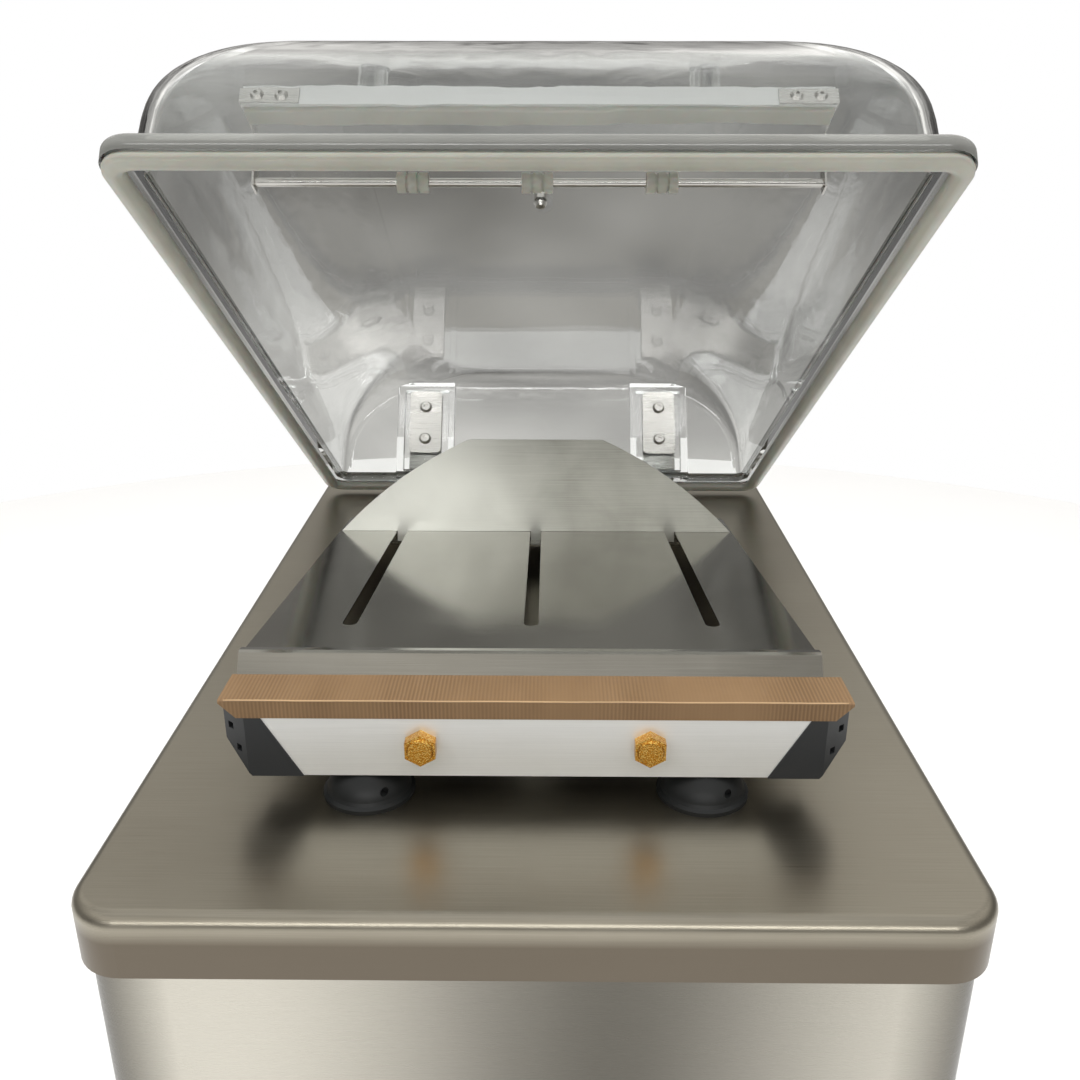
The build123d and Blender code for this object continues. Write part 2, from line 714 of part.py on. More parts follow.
# valve body, coil and top nut, one on another
valve_place = (-150.0, 120.0)
valve_bottom = deck_top - 150.0
valve_body, valve_body_height = 60.0, 40.0
valve_coil, valve_coil_height = 38.0, 52.0
valve_nut_radius, valve_nut_height = 9.0, 14.0
with BuildPart() as solenoid_valve:
    with BuildSketch(Plane.XY.offset(valve_bottom)):
        with Locations(valve_place):
            RectangleRounded(valve_body, valve_body, 6)
    extrude(amount=valve_body_height)
    with BuildSketch(Plane.XY.offset(valve_bottom + valve_body_height)):
        with Locations(valve_place):
            RectangleRounded(valve_coil, valve_coil, 4)
    extrude(amount=valve_coil_height)
    with BuildSketch(Plane.XY.offset(valve_bottom + valve_body_height + valve_coil_height)):
        with Locations(valve_place):
            Circle(valve_nut_radius)
    extrude(amount=valve_nut_height)
solenoid_valve.part.label = "solenoid_valve"
export_step(solenoid_valve.part, "parts/solenoid_valve.step")

board_width, board_height, board_sheet = 240.0, 84.0, 2.0
board_y = cabinet_front_y + 34.0
with BuildPart() as control_board:
    with BuildSketch(Plane((0, board_y, panel_z), x_dir=(1, 0, 0), z_dir=(0, -1, 0))):
        Rectangle(board_width, board_height)
    extrude(amount=board_sheet)
    with BuildSketch(Plane((0, board_y - board_sheet, panel_z), x_dir=(1, 0, 0), z_dir=(0, -1, 0))):
        with Locations((0, 20)):
            Rectangle(130, 34)
        with Locations((-84, -14), (84, -14)):
            Rectangle(20, 40)
    extrude(amount=12)
control_board.part.label = "control_board"
export_step(control_board.part, "parts/control_board.step")

# --------------------------------------------------------------- seal bar lift
cup_height = rail_bottom - 1.0
with BuildPart() as lift_cups:
    for side in (-1, 1):
        cup_centre = (side * lift_x, seal_bar_y, deck_top)
        with BuildSketch(Plane(cup_centre, x_dir=(1, 0, 0), z_dir=(0, -1, 0))):
            with BuildLine():
                Polyline(
                    (lift_post_radius + running_gap, 0),
                    (lift_cup_radius, 0),
                    (lift_cup_radius, 3),
                    (lift_cup_radius - 2.5, 4.5),
                    (lift_cup_radius - 3.5, 7),
                )
                ThreePointArc(
                    (lift_cup_radius - 3.5, 7),
                    (lift_cup_radius - 7, 15),
                    (lift_cup_radius - 13, cup_height - 1.5),
                )
                Polyline(
                    (lift_cup_radius - 13, cup_height - 1.5),
                    (lift_cup_radius - 15, cup_height),
                    (lift_post_radius + running_gap, cup_height),
                    (lift_post_radius + running_gap, 0),
                )
            make_face()
        revolve(axis=Axis(cup_centre, (0, 0, 1)))
        # drip hole through the cup's front
        drip_centre = (side * lift_x + 14, seal_bar_y - lift_cup_radius, deck_top + 12.5)
        with BuildSketch(Plane(drip_centre, x_dir=(1, 0, 0), z_dir=(0, 1, 0))):
            Circle(2.6)
        extrude(amount=14, mode=Mode.SUBTRACT)
lift_cups.part.label = "lift_cups"
export_step(lift_cups.part, "parts/lift_cups.step")

cylinder_height = 58.0
piston_radius = lift_cylinder_radius - 7.0
piston_height = 10.0
piston_rest = cylinder_height - 26.0
with BuildPart() as lift_cylinders:
    with BuildSketch(Plane.XY.offset(deck_under)):
        with Locations((-lift_x, seal_bar_y), (lift_x, seal_bar_y)):
            Circle(lift_cylinder_radius)
    extrude(amount=-cylinder_height)
    with BuildSketch(Plane.XY.offset(deck_under - 5)):
        with Locations((-lift_x, seal_bar_y), (lift_x, seal_bar_y)):
            Circle(piston_radius + sliding_gap)
    extrude(amount=-(cylinder_height - 10), mode=Mode.SUBTRACT)
    with BuildSketch(Plane.XY.offset(deck_under)):
        with Locations((-lift_x, seal_bar_y), (lift_x, seal_bar_y)):
            Circle(lift_post_radius + running_gap)
    extrude(amount=-6, mode=Mode.SUBTRACT)
lift_cylinders.part.label = "lift_cylinders"
export_step(lift_cylinders.part, "parts/lift_cylinders.step")

piston_top = deck_under - piston_rest
with BuildPart() as lift_pistons:
    with BuildSketch(Plane.XY.offset(piston_top - piston_height)):
        with Locations((-lift_x, seal_bar_y), (lift_x, seal_bar_y)):
            Circle(piston_radius)
    extrude(amount=piston_height)
    with BuildSketch(Plane.XY.offset(piston_top)):
        with Locations((-lift_x, seal_bar_y), (lift_x, seal_bar_y)):
            Circle(lift_post_radius)
    extrude(amount=deck_top + rail_bottom - piston_top)
lift_pistons.part.label = "lift_pistons"
export_step(lift_pistons.part, "parts/lift_pistons.step")

# -------------------------------------------------------------------- seal bar
seal_front_y = seal_bar_y - seal_bar_width / 2
seal_plane = Plane((0, seal_front_y, deck_top), x_dir=(1, 0, 0), z_dir=(0, -1, 0))
rail_top = seal_bar_top - heater_height

with BuildPart() as seal_bar_rail:
    with BuildSketch(seal_plane):
        Polygon(
            (-rail_half_bottom, rail_bottom),
            (rail_half_bottom, rail_bottom),
            (rail_half_top, rail_top),
            (-rail_half_top, rail_top),
            align=None,
        )
    extrude(amount=-seal_bar_width)
    # open underneath, with solid pads over the lift posts
    with BuildSketch(Plane.XY.offset(deck_top + rail_bottom)):
        with Locations((0, seal_bar_y)):
            Rectangle(2 * rail_half_bottom - 20, seal_bar_width - 2 * rail_wall)
        with Locations((-lift_x, seal_bar_y), (lift_x, seal_bar_y)):
            Rectangle(44, seal_bar_width, mode=Mode.SUBTRACT)
    extrude(amount=rail_top - rail_bottom - 8, mode=Mode.SUBTRACT)
seal_bar_rail.part.label = "seal_bar_rail"
export_step(seal_bar_rail.part, "parts/seal_bar_rail.step")

cap_plane = seal_plane.offset(0.6)
cap_face_square = 5.0
with BuildPart() as seal_bar_end_caps:
    with BuildSketch(cap_plane):
        Polygon(
            (rail_half_bottom, rail_bottom - 0.6),
            (seal_bar_half - 18, rail_bottom - 0.6),
            (seal_bar_half + 1, rail_bottom + 22),
            (seal_bar_half + 1, rail_top),
            (rail_half_top, rail_top),
            (rail_half_bottom, rail_bottom),
            align=None,
        )
    extrude(amount=-(seal_bar_width + 1.2))
    # a facet across each outer front and rear corner
    for facet_y, run in ((seal_front_y - 0.6, 1), (seal_front_y + seal_bar_width + 0.6, -1)):
        with BuildSketch(Plane.XY.offset(deck_top + rail_bottom - 2)):
            Polygon(
                (seal_bar_half + 2, facet_y - run),
                (seal_bar_half - 16, facet_y - run),
                (seal_bar_half - 16, facet_y),
                (seal_bar_half + 1, facet_y + 13 * run),
                (seal_bar_half + 2, facet_y + 13 * run),
                align=None,
            )
        extrude(amount=rail_top, mode=Mode.SUBTRACT)
    facet = Plane(
        (seal_bar_half - 7.5, seal_front_y + 5.9, deck_top + rail_bottom + 25),
        x_dir=(17, 13, 0),
        z_dir=(13, -17, 0),
    )
    with BuildSketch(facet):
        with Locations((4, 9), (-3, -6)):
            Rectangle(cap_face_square, cap_face_square)
    extrude(amount=-4, mode=Mode.SUBTRACT)
    mirror(about=Plane.YZ)
seal_bar_end_caps.part.label = "seal_bar_end_caps"
export_step(seal_bar_end_caps.part, "parts/seal_bar_end_caps.step")

with BuildPart() as seal_bar_heater:
    with BuildSketch(seal_plane.offset(0.8)):
        Polygon(
            (-seal_bar_half + 11, rail_top),
            (seal_bar_half - 11, rail_top),
            (seal_bar_half, rail_top + 11),
            (seal_bar_half, seal_bar_top),
            (-seal_bar_half, seal_bar_top),
            (-seal_bar_half, rail_top + 11),
            align=None,
        )
    extrude(amount=-(seal_bar_width + 1.6))
    fillet(seal_bar_heater.faces().sort_by(Axis.Z)[-1].edges().filter_by(Axis.X), 1.2)
seal_bar_heater.part.label = "seal_bar_heater"
export_step(seal_bar_heater.part, "parts/seal_bar_heater.step")

bolt_from_end = 134.0
bolt_x = seal_bar_half - bolt_from_end
bolt_height = 47.0
bolt_flats = 20.6
with BuildPart() as seal_bar_bolts:
    with BuildSketch(seal_plane):
        with Locations((-bolt_x, bolt_height), (bolt_x, bolt_height)):
            RegularPolygon(radius=bolt_flats / 2, side_count=6, major_radius=False, rotation=30)
    extrude(amount=8)
    with BuildSketch(seal_plane.offset(8)):
        with Locations((-bolt_x, bolt_height), (bolt_x, bolt_height)):
            Circle(bolt_flats / 2 - 1.2)
    extrude(amount=1.6, taper=35)
seal_bar_bolts.part.label = "seal_bar_bolts"
export_step(seal_bar_bolts.part, "parts/seal_bar_bolts.step")

# ------------------------------------------------------- product tray, backstop
# Local y on the tray runs down the slope to the rear.
tray_normal = Vector(0, sin(tray_turn), cos(tray_turn))
tray_plane = Plane(
    origin=(tray_offset_x, tray_front_y, deck_top + tray_front_height),
    x_dir=(1, 0, 0),
    z_dir=tray_normal,
)
tray_side = Plane(origin=tray_plane.origin, x_dir=(0, 1, 0), z_dir=(1, 0, 0))
tray_lip_run = 9.0
tray_lip_drop = 18.0
tray_flat = 13.0
leg_width = 34.0
leg_from_middle = 160.0
leg_y = 46.0
tray_rear_y = tray_length * cos(tray_turn)
tray_rear_drop = tray_length * sin(tray_turn)
slot_xs = (-slot_spacing, 0.0, slot_spacing)

with BuildPart() as product_tray:
    with BuildSketch(tray_plane):
        with Locations((0, tray_flat + (tray_length - tray_flat) / 2)):
            RectangleRounded(tray_width, tray_length - tray_flat, 8)
        with Locations((0, tray_flat + 10)):
            Rectangle(tray_width, 20)
        with Locations(*[(x, slot_front + slot_length / 2) for x in slot_xs]):
            SlotOverall(slot_length, slot_width, rotation=90, mode=Mode.SUBTRACT)
    extrude(amount=-tray_sheet)
    # front edge: a short flat and a lip folded down at a slant, a little wider than the plate
    with BuildSketch(tray_side.offset(-tray_width / 2 - 3)):
        with BuildLine():
            Polyline(
                (tray_flat, -tray_flat * tan(tray_turn)),
                (6, 0),
                (3.5, -1.2),
                (-tray_lip_run + 1, -tray_lip_drop),
                (-tray_lip_run + 2.5, -tray_lip_drop - 0.6),
                (5, -2.6),
                (7, -tray_sheet),
                (tray_flat, -tray_flat * tan(tray_turn) - tray_sheet),
                close=True,
            )
        make_face()
    extrude(amount=tray_width + 6)
    # rear edge folded down to the deck
    with BuildSketch(tray_side.offset(-tray_width / 2 + 10)):
        with BuildLine():
            Polyline(
                (tray_rear_y - 2, -tray_rear_drop + 0.2),
                (tray_rear_y, -tray_rear_drop),
                (tray_rear_y, -tray_front_height + rest_gap),
                (tray_rear_y - 12, -tray_front_height + rest_gap),
                (tray_rear_y - 12, -tray_front_height + rest_gap + tray_sheet),
                (tray_rear_y - tray_sheet, -tray_front_height + rest_gap + tray_sheet),
                (tray_rear_y - tray_sheet - 0.4, -tray_rear_drop - tray_sheet),
                close=True,
            )
        make_face()
    extrude(amount=tray_width - 20)
    # two bent-strip legs near the front
    for side in (-1, 1):
        with BuildSketch(tray_side.offset(side * leg_from_middle - leg_width / 2)):
            with BuildLine():
                Polyline(
                    (leg_y - 18, -(leg_y - 18) * tan(tray_turn) - tray_sheet),
                    (leg_y, -leg_y * tan(tray_turn) - tray_sheet),
                    (leg_y, -tray_front_height + rest_gap),
                    (leg_y + 18, -tray_front_height + rest_gap),
                    (leg_y + 18, -tray_front_height + rest_gap + tray_sheet),
                    (leg_y + tray_sheet, -tray_front_height + rest_gap + tray_sheet),
                    (leg_y + tray_sheet, -(leg_y + 2) * tan(tray_turn) - 0.8),
                    (leg_y - 18, -(leg_y - 18) * tan(tray_turn) - 0.8),
                    close=True,
                )
            make_face()
        extrude(amount=leg_width)
product_tray.part.label = "product_tray"
export_step(product_tray.part, "parts/product_tray.step")

# at rest the tabs stand at the rear of the slots, just before their round ends
backstop_at = slot_front + slot_length - slot_width / 2 - backstop_sheet
backstop_plane = Plane(
    origin=tray_plane.from_local_coords((0, backstop_at, 0)),
    x_dir=(1, 0, 0),
    z_dir=-tray_plane.y_dir,
)
half_bottom = tray_width / 2 - backstop_short_of_tray
half_top = backstop_top_width / 2
backstop_arc_radius = 420.0
with BuildPart() as backstop:
    with BuildSketch(backstop_plane):
        with BuildLine():
            Line((-half_bottom, rest_gap), (half_bottom, rest_gap))
            RadiusArc((half_bottom, rest_gap), (half_top, backstop_height), -backstop_arc_radius)
            Line((half_top, backstop_height), (-half_top, backstop_height))
            RadiusArc((-half_top, backstop_height), (-half_bottom, rest_gap), -backstop_arc_radius)
        make_face()
        with Locations(*[(x, -(tab_depth - 2) / 2) for x in slot_xs]):
            Rectangle(tab_width, tab_depth)
    extrude(amount=-backstop_sheet)
    # the middle tab is folded forward under the tray
    with BuildSketch(backstop_plane):
        with Locations((0, -tab_depth + 1.5)):
            Rectangle(tab_width, 2)
    extrude(amount=12)
backstop.part.label = "backstop"
export_step(backstop.part, "parts/backstop.step")

# ------------------------------------------------------------------- lid shell
dome_rings = 12
roof_screw_from_rear = 450.0
roof_screw_radius = 3.0


def rounding(depth, height, radius):
    """How far a wall has curved in at this depth, under a roof edge of this radius."""
    rise = max(0.0, depth - (height - radius))
    return radius - sqrt(max(0.0, radius * radius - rise * rise))


def dome_outline(share, wall):
    """Half width, front y, rear y, corner radius and depth of one ring of the dome."""
    height = lid_dome - wall
    depth = height * (1 - (1 - share) ** 2)
    side = depth * lid_draft + rounding(depth, height, lid_side_radius - wall)
    front = depth * lid_draft + rounding(depth, height, lid_front_radius - wall)
    rear = depth * lid_draft + rounding(depth, height, lid_rear_radius - wall)
    edge = lid_rim + wall
    corner = lid_corner_radius - lid_rim / 2 - wall + 0.7 * side
    return lid_width / 2 - edge - side, edge + front - lid_length, -edge - rear, corner, depth


def dome_sketch(share, wall):
    """One ring of the dome as a sketch in the lid's frame."""
    half_width, front_y, rear_y, corner, depth = dome_outline(share, wall)
    with BuildSketch(lid_plane.offset(depth)) as ring:
        with Locations((0, (front_y + rear_y) / 2)):
            RectangleRounded(2 * half_width, rear_y - front_y, corner)
    return ring.sketch.face()


outer_rings = [dome_sketch(i / dome_rings, 0.0) for i in range(dome_rings + 1)]
inner_rings = [dome_sketch(i / dome_rings, lid_wall) for i in range(dome_rings + 1)]
column_width = hinge_channel_width + 2 * lid_wall
column_front = lid_rim + hinge_channel_depth + lid_wall
column_top = hinge_channel_top + lid_wall

with BuildPart() as lid_shell:
    with BuildSketch(lid_plane):
        with Locations((0, -lid_length / 2)):
            RectangleRounded(lid_width, lid_length, lid_corner_radius)
    extrude(amount=lid_rim_thickness)
    fillet(lid_shell.faces().sort_by(Axis(lid_plane.origin, lid_normal))[-1].edges(), 4)
    loft(outer_rings)
    loft(inner_rings, mode=Mode.SUBTRACT)
    # two columns stand inside the rear wall, where the hinge arms sit in channels outside
    for side in (-1, 1):
        with BuildSketch(lid_plane):
            with Locations((side * hinge_arm_x, -(column_front + lid_rim + 3) / 2)):
                Rectangle(column_width, column_front - lid_rim - 3)
        extrude(amount=column_top)
    for side in (-1, 1):
        with BuildSketch(lid_plane.offset(lid_rim_thickness)):
            with Locations((side * hinge_arm_x, -(lid_rim + hinge_channel_depth) / 2)):
                Rectangle(hinge_channel_width, lid_rim + hinge_channel_depth)
        extrude(amount=hinge_channel_top - lid_rim_thickness, mode=Mode.SUBTRACT)
    with BuildSketch(lid_front):
        with Locations(*[(s * hinge_arm_x, d) for s in (-1, 1) for d in hinge_screws]):
            Circle(hinge_screw_radius + rest_gap)
    extrude(amount=column_front + 5, mode=Mode.SUBTRACT)
    with BuildSketch(lid_plane.offset(lid_dome)):
        with Locations((0, -roof_screw_from_rear)):
            Circle(roof_screw_radius)
    extrude(amount=-2 * lid_wall, mode=Mode.SUBTRACT)
lid_shell.part.label = "lid_shell"
export_step(lid_shell.part, "parts/lid_shell.step")

with BuildPart() as lid_gasket:
    with BuildSketch(lid_plane):
        with Locations((0, -lid_length / 2)):
            RectangleRounded(lid_width - 2, lid_length - 2, lid_corner_radius - 1)
            RectangleRounded(
                lid_width - 2 - 2 * gasket_width,
                lid_length - 2 - 2 * gasket_width,
                lid_corner_radius - 1 - gasket_width,
                mode=Mode.SUBTRACT,
            )
    extrude(amount=-gasket_height)
    fillet(lid_gasket.faces().sort_by(Axis(lid_plane.origin, lid_normal))[0].edges(), 3.5)
lid_gasket.part.label = "lid_gasket"
export_step(lid_gasket.part, "parts/lid_gasket.step")

# ------------------------------------------------------------------- lid hinge
arm_sheet = 6.0
arm_front = -(lid_rim + hinge_channel_depth)
crank_low = lid_rim_thickness + 1.0
crank_high = crank_low + 8.0
arm_boss = hinge_shaft_radius + 6.0
leg_front = hinge_local_y - hinge_leg / 2

with BuildPart() as hinge_arms:
    for side in (-1, 1):
        with BuildSketch(lid_side.offset(side * hinge_arm_x - hinge_arm_width / 2)):
            Polygon(
                (arm_front, hinge_channel_top - 6),
                (arm_front, crank_low),
                (leg_front, crank_low),
                (leg_front, hinge_local_z),
                (leg_front + hinge_leg, hinge_local_z),
                (leg_front + hinge_leg, crank_high),
                (arm_front + arm_sheet, crank_high),
                (arm_front + arm_sheet, hinge_channel_top - 6),
                align=None,
            )
            with Locations((hinge_local_y, hinge_local_z)):
                Circle(arm_boss)
                Circle(hinge_shaft_radius, mode=Mode.SUBTRACT)
        extrude(amount=hinge_arm_width)
    with BuildSketch(lid_front):
        with Locations(*[(s * hinge_arm_x, d) for s in (-1, 1) for d in hinge_screws]):
            Circle(hinge_screw_radius)
    extrude(amount=-arm_front, mode=Mode.SUBTRACT)
hinge_arms.part.label = "hinge_arms"
export_step(hinge_arms.part, "parts/hinge_arms.step")

backing_low = 32.0
backing_high = 113.0
backing_sheet = 3.0
with BuildPart() as hinge_backing_plates:
    with BuildSketch(lid_front.offset(column_front)):
        with Locations(*[(s * hinge_arm_x, (backing_low + backing_high) / 2) for s in (-1, 1)]):
            RectangleRounded(hinge_arm_width, backing_high - backing_low, 5)
        with Locations(*[(s * hinge_arm_x, d) for s in (-1, 1) for d in hinge_screws]):
            Circle(hinge_screw_radius, mode=Mode.SUBTRACT)
    extrude(amount=backing_sheet)
hinge_backing_plates.part.label = "hinge_backing_plates"
export_step(hinge_backing_plates.part, "parts/hinge_backing_plates.step")

bearing_from_arm = 36.0
bearing_x = hinge_arm_x + bearing_from_arm
hinge_shaft_half = bearing_x + 20.0
with BuildPart() as hinge_shaft:
    with BuildSketch(Plane.YZ.offset(-hinge_shaft_half)):
        with Locations((hinge_y, hinge_z)):
            Circle(hinge_shaft_radius)
    extrude(amount=2 * hinge_shaft_half)
    chamfer(hinge_shaft.edges().filter_by(GeomType.CIRCLE), 1)
hinge_shaft.part.label = "hinge_shaft"
export_step(hinge_shaft.part, "parts/hinge_shaft.step")

bearing_length = 18.0
bearing_radius = hinge_shaft_radius + 10.0
with BuildPart() as hinge_bearings:
    for side in (-1, 1):
        with BuildSketch(Plane.YZ.offset(side * bearing_x - bearing_length / 2)):
            with Locations((hinge_y, hinge_z)):
                Circle(bearing_radius)
            with Locations((hinge_y, (hinge_z + deck_under) / 2)):
                Rectangle(2 * bearing_radius, deck_under - hinge_z)
            with Locations((hinge_y, deck_under - 4)):
                Rectangle(2 * bearing_radius + 36, 8)
            with Locations((hinge_y, hinge_z)):
                Circle(hinge_shaft_radius + running_gap, mode=Mode.SUBTRACT)
        extrude(amount=bearing_length)
hinge_bearings.part.label = "hinge_bearings"
export_step(hinge_bearings.part, "parts/hinge_bearings.step")

# ------------------------------------------------------- counterbalance springs
lever_from_arm = 64.0
lever_x = hinge_arm_x - lever_from_arm
lever_sheet = 8.0
lever_length = 52.0
lever_pin_radius = 4.0
lever_angle = radians(-24.0)
spring_radius = 10.0
spring_wire = 2.6
spring_coils = 24
spring_anchor_z = deck_top - 235.0
lever_tip_y = hinge_y + lever_length * cos(lever_angle)
lever_tip_z = hinge_z + lever_length * sin(lever_angle)

with BuildPart() as spring_levers:
    for side in (-1, 1):
        with BuildSketch(Plane.YZ.offset(side * lever_x - lever_sheet / 2)):
            make_hull(
                (
                    *Edge.make_circle(hinge_shaft_radius + 7, Plane((hinge_y, hinge_z, 0))).edges(),
                    *Edge.make_circle(9, Plane((lever_tip_y, lever_tip_z, 0))).edges(),
                )
            )
            with Locations((hinge_y, hinge_z)):
                Circle(hinge_shaft_radius, mode=Mode.SUBTRACT)
        extrude(amount=lever_sheet)
        with BuildSketch(Plane.YZ.offset(side * lever_x - lever_sheet / 2 - 12)):
            with Locations((lever_tip_y, lever_tip_z)):
                Circle(lever_pin_radius)
        extrude(amount=lever_sheet + 24)
spring_levers.part.label = "spring_levers"
export_step(spring_levers.part, "parts/spring_levers.step")

spring_top = lever_tip_z - 16.0
spring_bottom = spring_anchor_z + 14.0
coil_pitch = (spring_top - spring_bottom) / spring_coils
with BuildPart() as lid_springs:
    for side in (-1, 1):
        spring_foot = (side * lever_x, lever_tip_y, spring_bottom)
        with BuildSketch(Plane(spring_foot, x_dir=(1, 0, 0), z_dir=(0, -1, 0))):
            with BuildLine():
                Line((spring_radius - spring_wire, 0), (spring_radius, 0))
                for coil in range(spring_coils):
                    ThreePointArc(
                        (spring_radius, coil * coil_pitch),
                        (spring_radius + coil_pitch / 3, (coil + 0.5) * coil_pitch),
                        (spring_radius, (coil + 1) * coil_pitch),
                    )
                Polyline(
                    (spring_radius, spring_coils * coil_pitch),
                    (spring_radius - spring_wire, spring_coils * coil_pitch),
                    (spring_radius - spring_wire, 0),
                )
            make_face()
        revolve(axis=Axis(spring_foot, (0, 0, 1)))
        # the hooked end, a flat eye over the lever's pin
        with BuildSketch(Plane.YZ.offset(side * lever_x + lever_sheet / 2 + 1)):
            with Locations((lever_tip_y, (spring_top - 3 + lever_tip_z) / 2)):
                Rectangle(8, lever_tip_z - spring_top + 3)
            with Locations((lever_tip_y, lever_tip_z)):
                Circle(7)
                Circle(lever_pin_radius + running_gap, mode=Mode.SUBTRACT)
        extrude(amount=spring_wire)
lid_springs.part.label = "lid_springs"
export_step(lid_springs.part, "parts/lid_springs.step")

anchor_front_y = lever_tip_y - 14.0
anchor_rear_y = cabinet_rear_y - cabinet_sheet
with BuildPart() as spring_anchor:
    with BuildSketch(Plane.XY.offset(spring_anchor_z)):
        with Locations((0, (anchor_front_y + anchor_rear_y) / 2)):
            Rectangle(2 * lever_x + 60, anchor_rear_y - anchor_front_y)
    extrude(amount=3)
    with BuildSketch(Plane.XY.offset(spring_anchor_z + 3)):
        with Locations((-lever_x, lever_tip_y), (lever_x, lever_tip_y)):
            Circle(spring_radius - spring_wire - sliding_gap)
    extrude(amount=spring_bottom - spring_anchor_z + 6)
spring_anchor.part.label = "spring_anchor"
export_step(spring_anchor.part, "parts/spring_anchor.step")

switch_from_shaft = 36.0
lid_switch_x = -(hinge_shaft_half + switch_from_shaft)
with BuildPart() as lid_switch:
    with BuildSketch(Plane.XY.offset(deck_under)):
        with Locations((lid_switch_x, hinge_y - 60)):
            Rectangle(20, 50)
    extrude(amount=-28)
    with BuildSketch(Plane.XY.offset(deck_under - 28)):
        with Locations((lid_switch_x, hinge_y - 48)):
            Circle(4)
    extrude(amount=-8)
lid_switch.part.label = "lid_switch"
export_step(lid_switch.part, "parts/lid_switch.step")

# ------------------------------------------------- counter bar hung in the lid
bracket_sheet = 1.5
bracket_length = 42.0
bracket_height = 13.0
bracket_low = counter_top - counter_height + 1
bracket_front = -counter_local_y + counter_width / 2 + bracket_sheet
bracket_screw_radius = 2.2
bracket_screw_spacing = 17.0
bracket_screw_depth = 9.0
bracket_middle = counter_half + bracket_sheet - bracket_length / 2
bracket_screws = [
    (side * bracket_middle + end * bracket_screw_spacing / 2, bracket_low + bracket_height / 2)
    for side in (-1, 1)
    for end in (-1, 1)
]

with BuildPart() as counter_bar:
    with BuildSketch(lid_side.offset(-counter_half)):
        with Locations((counter_local_y, counter_top - counter_height / 2)):
            Rectangle(counter_width, counter_height)
        with Locations((counter_local_y, counter_top - counter_height + strip_recess / 2)):
            Rectangle(strip_width, strip_recess, mode=Mode.SUBTRACT)
    extrude(amount=2 * counter_half)
    with BuildSketch(lid_front.offset(bracket_front)):
        with Locations(*bracket_screws):
            Circle(bracket_screw_radius)
    extrude(amount=-bracket_screw_depth, mode=Mode.SUBTRACT)
counter_bar.part.label = "counter_bar"
export_step(counter_bar.part, "parts/counter_bar.step")

with BuildPart() as counter_strip:
    with BuildSketch(lid_side.offset(-counter_half + 1)):
        with Locations((counter_local_y, strip_bottom + strip_height / 2)):
            Rectangle(strip_width - 0.2, strip_height)
    extrude(amount=2 * counter_half - 2)
    fillet(
        counter_strip.faces().sort_by(Axis(lid_plane.origin, lid_normal))[0].edges().filter_by(Axis.X),
        2,
    )
counter_strip.part.label = "counter_strip"
export_step(counter_strip.part, "parts/counter_strip.step")

with BuildPart() as counter_posts:
    with BuildSketch(lid_plane.offset(counter_top)):
        with Locations((-post_x, counter_local_y), (post_x, counter_local_y)):
            Circle(post_radius)
    extrude(amount=lid_dome - counter_top)
    # their tops follow the inside of the roof, where they are bonded
    loft(inner_rings, mode=Mode.INTERSECT)
counter_posts.part.label = "counter_posts"
export_step(counter_posts.part, "parts/counter_posts.step")

with BuildPart() as counter_brackets:
    with BuildSketch(lid_side.offset(counter_half)):
        Polygon(
            (counter_local_y - counter_width / 2 - bracket_sheet, bracket_low),
            (rod_local_y - 6, bracket_low),
            (rod_local_y - 6, rod_depth_in_lid - 6),
            (rod_local_y + 6, rod_depth_in_lid - 6),
            (rod_local_y + 6, bracket_low + 4),
            (counter_local_y + counter_width / 2, bracket_low + bracket_height),
            (counter_local_y - counter_width / 2 - bracket_sheet, bracket_low + bracket_height),
            align=None,
        )
        with Locations((rod_local_y, rod_depth_in_lid)):
            Circle(rod_radius, mode=Mode.SUBTRACT)
    extrude(amount=bracket_sheet)
    bracket_middle = (counter_half + bracket_sheet - bracket_length / 2, bracket_low + bracket_height / 2)
    with BuildSketch(lid_front.offset(-counter_local_y + counter_width / 2)):
        with Locations(bracket_middle):
            Rectangle(bracket_length, bracket_height)
    extrude(amount=bracket_sheet)
    mirror(about=Plane.YZ)
    with BuildSketch(lid_front.offset(bracket_front)):
        with Locations(*bracket_screws):
            Circle(bracket_screw_radius)
    extrude(amount=-bracket_sheet, mode=Mode.SUBTRACT)
counter_brackets.part.label = "counter_brackets"
export_step(counter_brackets.part, "parts/counter_brackets.step")

